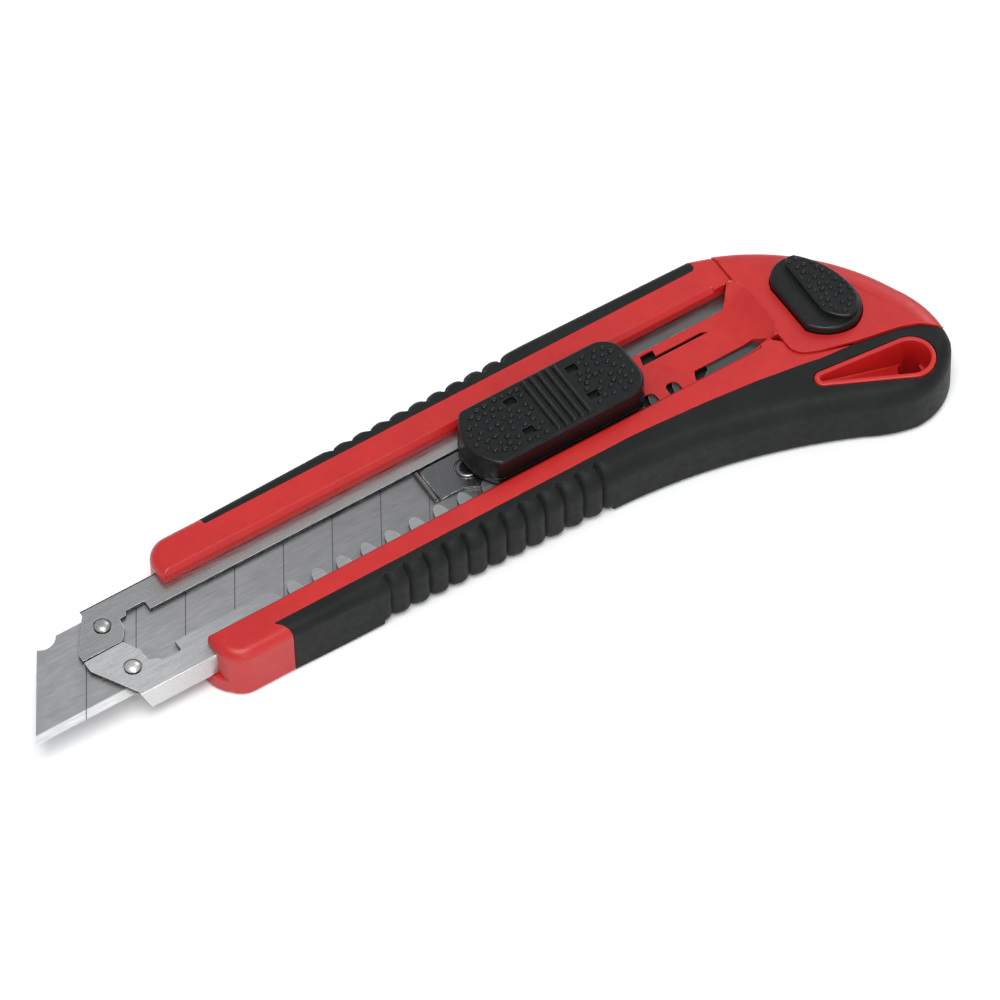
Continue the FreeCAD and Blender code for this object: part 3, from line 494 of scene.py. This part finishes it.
edge_grip = moulded("edge_grip_rubber", rim, back, face, hull_foot, hull_brow, swell)
work(edge_grip, zone_tool(near_zone), "INTERSECT")
work(edge_grip, web, keep_tool=True)
work(edge_grip, zone_tool(drop(eye_narrow, eye_wide, 0.16)))
break_edges(edge_grip, 0.18, angle=50)
belly_valleys, first_valley = 12, 68.2
last_valley = first_valley + (belly_valleys - 1) * rib_pitch


def belly_line(x):
    """Where the cutting-edge side of the rim runs along the ribs."""
    return -6.2 - (x - 47.5) * 1.7 / 64.5


foot_cut = []
rib_foot_round = 2.6
for x, radius in ((first_valley - 1.2, 0.95), (first_valley, rib_foot_round), (last_valley, rib_foot_round),
                  (last_valley + 1.2, 1.6)):
    y, turns = belly_line(x), [math.radians(270 - 9 * k) for k in range(11)]
    bend = [(x, y + radius * (1 + math.cos(turn)) - 0.01, back + radius * (1 + math.sin(turn)) - 0.01)
            for turn in turns]
    foot_cut.append([(x, y - 1.5, back - 1.5), (x, y + 3, back - 1.5), (x, y + 3, back - 0.02)] + bend
                    + [(x, y - 1.5, back + radius)])
work(edge_grip, skin("foot_cut", foot_cut))
for k in range(belly_valleys):
    x = first_valley + rib_pitch * k
    work(edge_grip, valley(x, belly_line(x), -1, near_seam_y, 0.95 if k else 0.7, hull_round * swell((x, -7)),
                           rib_foot_round))

spine_grip = moulded("spine_grip_rubber", rim, back, face, hull_foot, hull_brow)
work(spine_grip, zone_tool(far_zone), "INTERSECT")
work(spine_grip, web)
break_edges(spine_grip, 0.1, 1, 50)
spine_valleys, first_spine_valley = 10, 74.73
for k in range(spine_valleys):
    x = first_spine_valley + rib_pitch * k
    spine_line = 24.2 + (x - 47.5) * 1.4 / 67.5
    work(spine_grip, valley(x, spine_line, 1, far_seam_y, 1.0, hull_round, foot_round))

grip_rubber = moulded_plastic("grip_rubber", (0.006, 0.0065, 0.0065), (0.009, 0.0095, 0.0095),
                              (0.04, 0.04, 0.04), 0.56, 4200, 0.28, 0.2)
for grip, node in ((edge_grip, "edge_grip"), (spine_grip, "spine_grip")):
    smooth(grip)
    dress(grip, grip_rubber)
    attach(grip, "handle")
    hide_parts(node)

# ---- tail cover with its tongue -------------------------------------------------------------------
# A second red moulding snaps over the tail. Its tongue reaches forward over the channel, with windows
# on the stop teeth, and rises to the cover in a scoop that the thumb slides up.
cover_edge = drawn_in(rim, [0.3] * len(rim))
cover = moulded("tail_cover", cover_edge, cover_seat, cover_face, (0, 0), (3.4, 1.3))
work(cover, zone_tool(trace([(154.0, 30)] + cover_near + [(190, -13.4), (190, 30)])), "INTERSECT")
tongue_low, tongue_high = 0.95, 1.35
tongue_far = 13.25
tongue = bar("tongue", [(1.8, tongue_low), (tongue_far, tongue_low), (tongue_far, cover_face - 0.03),
                        (1.8, cover_face - 0.03)], 127.6, 152.4)
ramp = moulded("ramp", [(151.6, 1.66), (157.9, 1.66), (157.9, 16.34), (152.7, 16.34), (150.0, 13.2),
                        (151.6, 12.0)], tongue_low + 0.01, cover_face - 0.01)
work(tongue, ramp, "UNION")
work(cover, tongue, "UNION")
for x, y in screw_places:
    work(cover, moulded("boss", ring_of(x, y, 2.4), -4.4, cover_seat + 0.6), "UNION")

scoop_foot, scoop_brow, scoop_bulge = 147.6, 152.9, 2.3
scoop_rings = []
for i in range(61):
    x = 127 + 34 * i / 60
    ring = []
    for k in range(33):
        y = 1.2 + 15.6 * k / 32
        bow = 1 - ((y - 9) / 7.6) ** 4
        climb = max(0, (x - scoop_foot) / (scoop_brow + scoop_bulge * bow - scoop_foot))
        ring.append((x, y, min(7, tongue_high + (cover_face - tongue_high) * climb ** 1.9)))
    scoop_rings.append(ring + [(x, 16.8, 9), (x, 1.2, 9)])
work(cover, skin("scoop", scoop_rings))
windows = [
    (rounded([(137.2, 2.5, 0.3), (152.5, 2.5, 0.1), (150.6, 4.6, 0.3), (138.2, 4.6, 0.6)]), cover_face + 1),
    (rounded([(131.8, 1.2, 0), (134.5, 1.2, 0), (134.3, 4.7, 1.05), (131.9, 4.9, 1.0)]), tongue_high + 0.4),
    (rounded([(127.2, 1.2, 0), (129.7, 1.2, 0), (129.5, 4.7, 1.05), (127.1, 4.9, 1.0)]), tongue_high + 0.4),
    (rounded([(131.2, 10.5, 0.2), (145.4, 10.5, 0.1), (143.9, 11.2, 0.1), (134.4, 11.2, 0.1),
              (134.6, 12.6, 0.2), (131.9, 12.6, 0.2)]), tongue_high + 0.4),
]

button_outline = trace([(158.6, -0.6), (166.3, -4.5, 8), (170.5, 1.5, 6), (164.5, 14.2, 18),
                        (158.6, 10.5, 5)], 0.6)
grown = drawn_in(button_outline, [-0.13] * len(button_outline))
work(cover, moulded("button_mouth", grown, tongue_low - 1, cover_face + 2))
break_edges(cover, 0.16)
for window, window_top in windows:
    work(cover, moulded("window", window, tongue_low - 1, window_top))
smooth(cover)
dress(cover, red_abs)
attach(cover, "handle")
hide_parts("rear_cover")

# ---- folded steel channel -------------------------------------------------------------------------
# One strip of spring steel is folded into a channel. Its lips hold the blade down, the near lip is
# blanked into the teeth that the slider clicks over, and two tabs close over the blade at the nose.
sheet_low, sheet_high, floor_level = 0.3, 0.9, -4.3
wall_near, wall_far, sheet = -1.65, 19.65, 0.6
section = rounded([
    (wall_near, floor_level, 0.45), (wall_far, floor_level, 0.45), (wall_far, sheet_high, 0.45),
    (wall_far - 1.2, sheet_high, 0), (wall_far - 1.2, sheet_low, 0), (wall_far - sheet, sheet_low, 0),
    (wall_far - sheet, floor_level + sheet, 0), (wall_near + sheet, floor_level + sheet, 0),
    (wall_near + sheet, sheet_low, 0), (wall_near + 1.2, sheet_low, 0), (wall_near + 1.2, sheet_high, 0),
    (wall_near, sheet_high, 0.45)], 5)
shoulder_x, wall_lean = 20.3, 2.0


def wall_front(z):
    """The walls lean back from the shoulder to the floor."""
    return shoulder_x + wall_lean * (sheet_high - z) / (sheet_high - floor_level)


channel = skin("blade_channel_steel", [[(wall_front(z), y, z) for y, z in section],
                                       [(152.9, y, z) for y, z in section]])

nose_x, tab_gap_y = 15.5, 9.85
lip_edge, corner_sides = 0.55, 6
near_lip = rounded([(nose_x, tab_gap_y, 0.3), (nose_x, 7.6, 0.6), (shoulder_x + 0.2, -1.0, 0.2),
                    (152.8, -1.0, 0), (152.8, 5.15, 0), (140.6, 5.15, 1.4), (140.3, lip_edge, 0.3)],
                   corner_sides)
near_lip = near_lip[:-(corner_sides + 1)]  # the rear tooth's foot takes the last corner's place
tooth_count, tooth_pitch, tooth_half, first_tooth = 17, 5.0, 1.5, 54.3
tooth_root, tooth_tall, tooth_flank = 1.3, 3.85, 0.2
for k in reversed(range(tooth_count)):
    x = first_tooth + tooth_pitch * k
    near_lip += [(x + tooth_half + tooth_flank, lip_edge)]
    for i in range(13):
        turn = math.pi * i / 12
        near_lip += [(x + tooth_half * math.cos(turn), tooth_root + tooth_tall * math.sin(turn) ** 0.9)]
    near_lip += [(x - tooth_half - tooth_flank, lip_edge)]
near_lip += rounded([(160, lip_edge, 0), (51.4, lip_edge, 0.2), (51.0, 5.15, 2.4), (31.0, 5.15, 0.15),
                     (31.0, 2.9, 0.3), (27.5, 2.9, 0.4), (26.5, 3.8, 0.3), (25.2, 4.2, 0.5),
                     (25.0, 7.0, 1.5), (23.5, tab_gap_y, 0.8), (0, 20, 0)], corner_sides)[1:-1]
far_lip = rounded([(nose_x, 10.1, 0.3), (23.6, 10.1, 0.8), (25.3, 12.5, 1.2), (25.4, 14.4, 0.4),
                   (26.8, 14.5, 0.3), (27.2, 15.3, 0.3), (31, 15.4, 0.3), (31, 13.4, 0.15),
                   (152.4, 13.4, 0.1), (152.8, 17.0, 0), (152.8, 18.9, 0), (shoulder_x + 0.2, 18.9, 0.2),
                   (nose_x, 11.6, 0.6)], corner_sides)
for side, lip_outline in (("near", near_lip), ("far", far_lip)):
    lip_sheet = moulded(side, lip_outline, sheet_low + 0.005, sheet_high - 0.005, (0, 0), (0.1, 0.1),
                        steps=2)
    work(channel, lip_sheet, "UNION")


def dome(x, y, z, radius, squash=1.0, rings=10, sides=28):
    """A ball, flattened by squash, as a tool or a pressing."""
    stack = []
    for k in range(1, rings):
        turn = math.pi * k / rings - math.pi / 2
        stack.append([(px, py, z + radius * squash * math.sin(turn))
                      for px, py in ring_of(x, y, radius * math.cos(turn), sides)])
    return skin("ball", stack)


boss_radius, boss_places = 1.5, [(22.1, 14.7), (22.1, 4.4)]
for x, y in boss_places:
    work(channel, moulded("moat", ring_of(x, y, boss_radius + 0.22), sheet_high - 0.3, sheet_high + 1))
    work(channel, dome(x, y, sheet_high - 0.1, boss_radius, 0.55), "UNION")
smooth(channel)


def sheet_steel(name, colour, stain, gloss, mottle, brush=(1, 14, 14), scratch=0.25, shade_spans=()):
    """Rolled steel: brushed along its length, mottled by handling, with edges lighter as rubbing wear and
    as a painted highlight. Each span entry is two places along the knife between which the steel darkens
    as painted shade, and the darker colour."""
    finish, tree, shader = stock(name)
    shader.inputs["Metallic"].default_value = 1.0
    brushed = speckle(tree, 260, 6, brush)
    cloudy = between(tree, speckle(tree, 3200, 8), 0, 1, 0.40, 0.62)
    colour_now = blend_of(tree, product(tree, cloudy, mottle), colour, stain)
    # Painted shade between places along the knife, where other parts stand over the steel.
    for start, end, darker in shade_spans:
        place = knit(tree, "ShaderNodeTexCoord").outputs["Object"]
        along = knit(tree, "ShaderNodeSeparateXYZ", i0=place).outputs[0]
        painted_shade = between(tree, along, 0, 0.9, at(start, 0, 0).x, at(end, 0, 0).x)
        colour_now = blend_of(tree, painted_shade, colour_now, darker)
    # Edges painted lighter: partly rubbing wear, partly a painted highlight.
    colour_now = blend_of(tree, product(tree, edge_wear_and_highlight(tree, 0.0003), 0.7), colour_now, (0.85, 0.85, 0.85))
    tree.links.new(colour_now, shader.inputs["Base Color"])
    tree.links.new(between(tree, brushed, gloss - 0.07, gloss + 0.1, 0.3, 0.7), shader.inputs["Roughness"])
    lines = knit(tree, "ShaderNodeBump", Height=brushed, Strength=scratch, Distance=0.00005).outputs[0]
    tree.links.new(lines, shader.inputs["Normal"])
    return finish


# The channel's one sheet comes as a lit copy for the near lip and walls, a painted-shaded copy for the far
# lip, and a near-black painted shade line. The lit copy darkens as painted shade from 24 to 46 mm, where the
# lip runs in under the rails, and again from 116 mm under the slider and tongue; the shaded copy darkens
# again under the slider and tongue from 95 to 130 mm.
lit_steel = sheet_steel("channel_steel_lit", (0.66, 0.66, 0.655), (0.52, 0.52, 0.515), 0.38, 0.6,
                           shade_spans=[(24, 46, (0.40, 0.40, 0.40)), (116, 122, (0.05, 0.075, 0.07))])
shaded_steel = sheet_steel("channel_steel_shaded", (0.44, 0.44, 0.435), (0.32, 0.32, 0.315), 0.34, 0.45,
                         shade_spans=[(95, 130, (0.15, 0.15, 0.15))])
shade_line_steel = sheet_steel("channel_steel_shade_line", (0.05, 0.05, 0.05), (0.03, 0.03, 0.03), 0.45, 0.5)
channel.data.materials.clear()
for finish in (lit_steel, shaded_steel, shade_line_steel):
    channel.data.materials.append(finish)
middle_y, near_y, far_y = (at(0, y, 0).y for y in (tab_gap_y + 0.1, -0.9, 19.2))
lip_level = at(0, 0, sheet_low).z
# Far lip faces take the painted-shaded copy; upright cut edges of the lips and the far bend take the painted
# shade line.
for polygon in channel.data.polygons:
    x, y, z = polygon.center
    on_lip = z > lip_level
    if y > far_y or (on_lip and y > near_y and abs(polygon.normal.z) < 0.3):
        polygon.material_index = 2
    else:
        polygon.material_index = 1 if on_lip and y > middle_y else 0
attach(channel, "handle")
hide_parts("blade_channel")


def refinish(finish, *nodes):
    """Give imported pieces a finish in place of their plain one."""
    for node in nodes:
        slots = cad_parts[node].data.materials
        slots.clear()
        slots.append(finish)


# A small guide of natural nylon lies in the channel's nose, and keeps the spare blades' tips down.
guide_nylon = moulded_plastic("guide_nylon", (0.55, 0.53, 0.47), (0.46, 0.44, 0.39), (0.7, 0.68, 0.62), 0.5,
                              3000, 0.2)
refinish(guide_nylon, "nose_guide")

# ---- blades ---------------------------------------------------------------------------------------
# Three snap-off blades of hardened carbon steel, ground bright along the cutting edge and scored
# every ten millimetres. One is in use, two wait under it.
score_lean, first_score, half_segment = 0.6, 0.08, 0.005


def ground_blade(name, scored):
    """Hardened strip steel: grey from the furnace, a bright ground edge and, where the blade is
    scored, dark lines where oil sits in the scores."""
    finish, tree, shader = stock(name)
    shader.inputs["Metallic"].default_value = 1.0
    grind = speckle(tree, 300, 7, (1, 10, 10))
    smoky = between(tree, speckle(tree, 240, 5), 0, 1, 0.35, 0.65)
    colour_now = blend_of(tree, smoky, (0.47, 0.47, 0.47), (0.42, 0.42, 0.425))
    place = knit(tree, "ShaderNodeTexCoord").outputs["Object"]
    place = knit(tree, "ShaderNodeSeparateXYZ", i0=place).outputs
    # The blade darkens from 25 mm to 95 mm behind its tip.
    darker_further_back = between(tree, place[0], 0, 0.9, at(25, 0, 0).x, at(95, 0, 0).x)
    colour_now = blend_of(tree, darker_further_back, colour_now, (0.23, 0.23, 0.23))
    ground = between(tree, place[1], 1, 0, at(0, 1.45, 0).y, at(0, 1.75, 0).y)
    colour_now = blend_of(tree, ground, colour_now, (0.84, 0.84, 0.83))
    if scored:
        run_back = knit(tree, "ShaderNodeMath", {"operation": "MULTIPLY_ADD"}, i0=place[1], i1=-score_lean,
                        i2=place[0]).outputs[0]
        from_tip = knit(tree, "ShaderNodeMath", {"operation": "SUBTRACT"}, i0=run_back,
                        i1=at(first_score, 0, 0).x - at(0, 0, 0).y * score_lean).outputs[0]
        away = knit(tree, "ShaderNodeMath", {"operation": "PINGPONG"}, i0=from_tip, i1=half_segment)
        away = away.outputs[0]
        scored_line = between(tree, away, 1, 0, 0.00006, 0.00013)
        behind_tip = between(tree, from_tip, 0, 1, 0.004, half_segment)
        colour_now = blend_of(tree, product(tree, scored_line, behind_tip), colour_now, (0.14, 0.14, 0.14))
    tree.links.new(colour_now, shader.inputs["Base Color"])
    tree.links.new(between(tree, grind, 0.30, 0.46, 0.3, 0.7), shader.inputs["Roughness"])
    drag = knit(tree, "ShaderNodeBump", Height=speckle(tree, 2600, 4, (9, 1, 1)), Strength=0.12,
                Distance=0.00004).outputs[0]
    tree.links.new(drag, shader.inputs["Normal"])
    return finish


refinish(ground_blade("blade_steel", True), "active_blade")
refinish(ground_blade("spare_blade_steel", False), "spare_blade_upper", "spare_blade_lower")

# ---- slider ---------------------------------------------------------------------------------------
# A black thumb block runs between the rails on a steel carrier. A leaf in front of it hooks the
# blade's hole, and a spring under it clicks over the channel's teeth.
cap_rear, cap_near, cap_far = 128.1, 2.1, 15.9
cap_foot, cap_face = 1.5, 7.6
cap_side, cap_bow_x = 97.0, 95.8
cap_plan = trace([(cap_bow_x, 2.61, 9.4), (cap_side, cap_near, 1.6), (123.5, cap_near), (cap_rear, 6.7, 4.6),
                  (cap_rear, 11.3), (123.5, cap_far, 4.6), (cap_side, cap_far), (cap_bow_x, 15.39, 1.6)], 0.5)
cap = moulded("thumb_slider", cap_plan, cap_foot, cap_face, (0, 0), (0.55, 0.55))
collar_plan = drawn_in(cap_plan, [-0.12] * len(cap_plan))
collar = moulded("collar", collar_plan, cap_foot + 0.02, 3.0, (0, 0), (0.3, 0.3))
work(cap, collar, "UNION")
break_edges(cap, 0.14)
ridge_count, ridge_first, ridge_pitch, ridge_wide = 5, 108.4, 1.63, 0.8
for k in range(ridge_count):
    x = ridge_first + ridge_pitch * k
    ridge = moulded("ridge", rounded([(x, cap_near + 0.5, 0.3), (x + ridge_wide, cap_near + 0.5, 0.3),
                                      (x + ridge_wide, cap_far - 0.5, 0.3), (x, cap_far - 0.5, 0.3)], 3),
                    cap_face - 0.4, cap_face + 0.55, (0, 0), (0.3, 0.4), steps=4)
    work(cap, ridge, "UNION")
pockets = [(104.8, 12.7), (104.2, 5.5), (117.8, 12.9), (117.9, 5.9)]
for x, y in pockets:
    pocket = rounded([(x - 1.1, y - 0.85, 0.15), (x + 1.1, y - 0.85, 0.15), (x + 1.1, y + 0.85, 0.15),
                      (x - 1.1, y + 0.85, 0.15)], 3)
    work(cap, moulded("pocket", pocket, cap_face - 0.9, cap_face + 1))
hollow = rounded([(125.1, 14.6, 1), (105.2, 14.6, 1), (105.2, 3.4, 1), (125.1, 3.4, 1)], 3)
work(cap, moulded("cap_hollow", hollow, cap_foot - 1, cap_face - 1.4))
smooth(cap)


def bead_field(name, outline, level, spacing, low, high, seed, pockets=()):
    """Small pressed beads scattered inside an outline, no two closer than spacing, round pockets."""
    rng = random.Random(seed)
    xs, ys = [x for x, y in outline], [y for x, y in outline]
    placed = []
    for _ in range(6000):
        x, y = rng.uniform(min(xs), max(xs)), rng.uniform(min(ys), max(ys))
        inside = False
        for (x0, y0), (x1, y1) in zip(outline, outline[1:] + outline[:1]):
            if (y0 > y) != (y1 > y) and x < (x1 - x0) * (y - y0) / (y1 - y0) + x0:
                inside = not inside
        inside = inside and all(abs(x - px) > 1.6 or abs(y - py) > 1.4 for px, py in pockets)
        if inside and all(math.hypot(x - px, y - py) > spacing for px, py, pr in placed):
            placed.append((x, y, rng.uniform(low, high)))
    cluster = bmesh.new()
    levels, sides = 5, 12
    for x, y, radius in placed:
        rows = []
        for k in range(levels):
            turn = math.radians(90 * k / levels - 12)
            rows.append([cluster.verts.new(at(px, py, level + radius * 0.8 * math.sin(turn)))
                         for px, py in ring_of(x, y, radius * math.cos(turn), sides)])
        for row, above in zip(rows, rows[1:]):
            for i in range(sides):
                j = (i + 1) % sides
                cluster.faces.new((row[i], row[j], above[j], above[i]))
        cluster.faces.new(rows[0][::-1])
        cluster.faces.new(rows[-1])
    for face_now in cluster.faces:
        face_now.smooth = True
    bmesh.ops.recalc_face_normals(cluster, faces=cluster.faces)
    mesh = bpy.data.meshes.new(name)
    cluster.to_mesh(mesh)
    cluster.free()
    beads = bpy.data.objects.new(name, mesh)
    bpy.context.scene.collection.objects.link(beads)
    return beads


black_abs = moulded_plastic("black_abs", (0.004, 0.0045, 0.0045), (0.006, 0.0065, 0.0065), (0.05, 0.05, 0.05),
                            0.30, 3600, 0.22, 0.3)
front_pad = rounded([(107.2, 14.6, 0.5), (98.0, 14.6, 2.5), (94.6, 10.5, 2.5), (94.6, 7.5, 2.5),
                     (98.0, 3.4, 2.5), (107.2, 3.4, 0.5)])
rear_pad = rounded([(126.6, 11.5, 2), (124.5, 14.3, 2), (117.6, 14.3, 0.5), (117.6, 3.7, 0.5),
                    (124.5, 3.7, 2), (126.6, 6.5, 2)])
dress(cap, black_abs)
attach(cap, "slider")
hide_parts("slider_cap")
for name, pad, seed in (("slider_front_beads", front_pad, 11), ("slider_rear_beads", rear_pad, 23)):
    beads = bead_field(name, pad, cap_face, 1.3, 0.42, 0.58, seed, pockets)
    beads.data.materials.append(black_abs)
    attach(beads, "slider")

leaf_low, leaf_high, hook_place = 0.05, 0.55, (93.4, 9.1)
leaf_plan = rounded([(104.0, 13.0, 0), (85.0, 13.1, 0.4), (85.0, 6.0, 0.5), (90.8, 5.7, 2), (93.2, 4.4, 0.8),
                     (104.0, 4.6, 0)])
leaf = moulded("hook_leaf_steel", leaf_plan, leaf_low, leaf_high)
leaf_bend = skin("bend", [[(84.7, y, leaf_low + 0.05), (85.9, y, leaf_low + 0.05),
                           (85.75, y, leaf_high + 0.05), (85.3, y, leaf_high + 0.42),
                           (84.95, y, leaf_high + 0.42), (84.75, y, leaf_high + 0.2)]
                          for y in (6.1, 12.95)])
leaf_trench = skin("trench", [[(85.6, y, leaf_high + 1), (85.65, y, leaf_high - 0.1),
                               (86.1, y, leaf_high - 0.42), (86.8, y, leaf_high - 0.3),
                               (87.9, y, leaf_high + 0.02), (88.2, y, leaf_high + 1)] for y in (3, 16)])
work(leaf, leaf_trench)
work(leaf, leaf_bend, "UNION")
work(leaf, moulded("moat", ring_of(*hook_place, 2.35, 40), leaf_high - 0.3, leaf_high + 1))
leaf_boss = moulded("boss", ring_of(*hook_place, 2.05, 40), leaf_low + 0.1, leaf_high + 0.3,
                    (0, 0), (0.5, 0.3))
work(leaf, leaf_boss, "UNION")
break_edges(leaf, 0.08)
smooth(leaf)
leaf_steel = sheet_steel("leaf_steel", (0.19, 0.19, 0.19), (0.15, 0.15, 0.15), 0.27, 0.5, (6, 6, 1), 0.1)
dress(leaf, leaf_steel)
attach(leaf, "slider")
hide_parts("hook_leaf")
refinish(leaf_steel, "hook_peg", "carrier_plate", "carrier_rivets")

# The lock spring is blued strip; its nose drops into the teeth.
blued_steel = sheet_steel("blued_spring_steel", (0.20, 0.22, 0.27), (0.10, 0.11, 0.14), 0.3, 0.9)
refinish(blued_steel, "lock_spring", "magazine_spring", "button_spring")

# ---- magazine -------------------------------------------------------------------------------------
# A plate of black nylon carries the spare blades and the button's foot. It floats on a waved spring
# in the channel, out of sight under the blades.
black_nylon = moulded_plastic("black_nylon", (0.02, 0.02, 0.02), (0.03, 0.03, 0.03), (0.08, 0.08, 0.08), 0.5,
                              3000, 0.2)
refinish(black_nylon, "magazine_follower")

# ---- reload button --------------------------------------------------------------------------------
# A black moulded key stands up through the cover. Its front is a smooth step, and the raised pad
# behind it is beaded for the thumb.
button_step, button_pad = 5.8, 7.0
button = moulded("reload_key", button_outline, -1.5, button_step, (0, 0), (0.55, 0.5))
pad_outline = trace([(163.9, 13.4), (162.6, 11.9, 1.8), (162.3, 0.9), (163.4, -1.9, 4), (166.3, -3.9, 4),
                     (169.9, 1.4, 5.4), (165.0, 13.2, 17.4)], 0.5)
work(button, moulded("pad", pad_outline, 3.0, button_pad, (0, 0), (0.45, 0.4)), "UNION")
work(button, moulded("stem", ring_of(162.2, 9.0, 3.0), -3.5, 0), "UNION")
smooth(button)
dress(button, black_abs)
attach(button, "button")
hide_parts("reload_button")
pad_inside = drawn_in(pad_outline, [0.65] * len(pad_outline))
key_beads = bead_field("reload_key_beads", pad_inside, button_pad, 1.25, 0.36, 0.5, 5)
key_beads.data.materials.append(black_abs)
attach(key_beads, "button")

# ---- screws ---------------------------------------------------------------------------------------
# Two zinc-plated steel screws with crossed slots come up through wells in the back. They bite into
# the cover's bosses and pull it down onto the body.
screws = None
for x, y in screw_places:
    head = moulded("cover_screw_steel", ring_of(x, y, 2.6, 40), back + 0.05, back + 1.5, (0.7, 0.5), (0, 0))
    work(head, moulded("shank", ring_of(x, y, 1.25, 24), back + 1.4, 0.6), "UNION")
    for wide, deep in ((3.0, 0.8), (0.8, 3.0)):
        cross = rounded([(x - wide / 2, y - deep / 2, 0.15), (x + wide / 2, y - deep / 2, 0.15),
                         (x + wide / 2, y + deep / 2, 0.15), (x - wide / 2, y + deep / 2, 0.15)], 3)
        work(head, moulded("cross", cross, back - 1, back + 1.1))
    if screws:
        work(screws, head, "UNION")
    else:
        screws = head
break_edges(screws, 0.08)
smooth(screws)
screw_zinc = sheet_steel("screw_zinc", (0.62, 0.61, 0.58), (0.42, 0.41, 0.39), 0.3, 0.8, (3, 3, 3), 0.1)
dress(screws, screw_zinc)
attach(screws, "handle")
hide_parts("cover_screws")
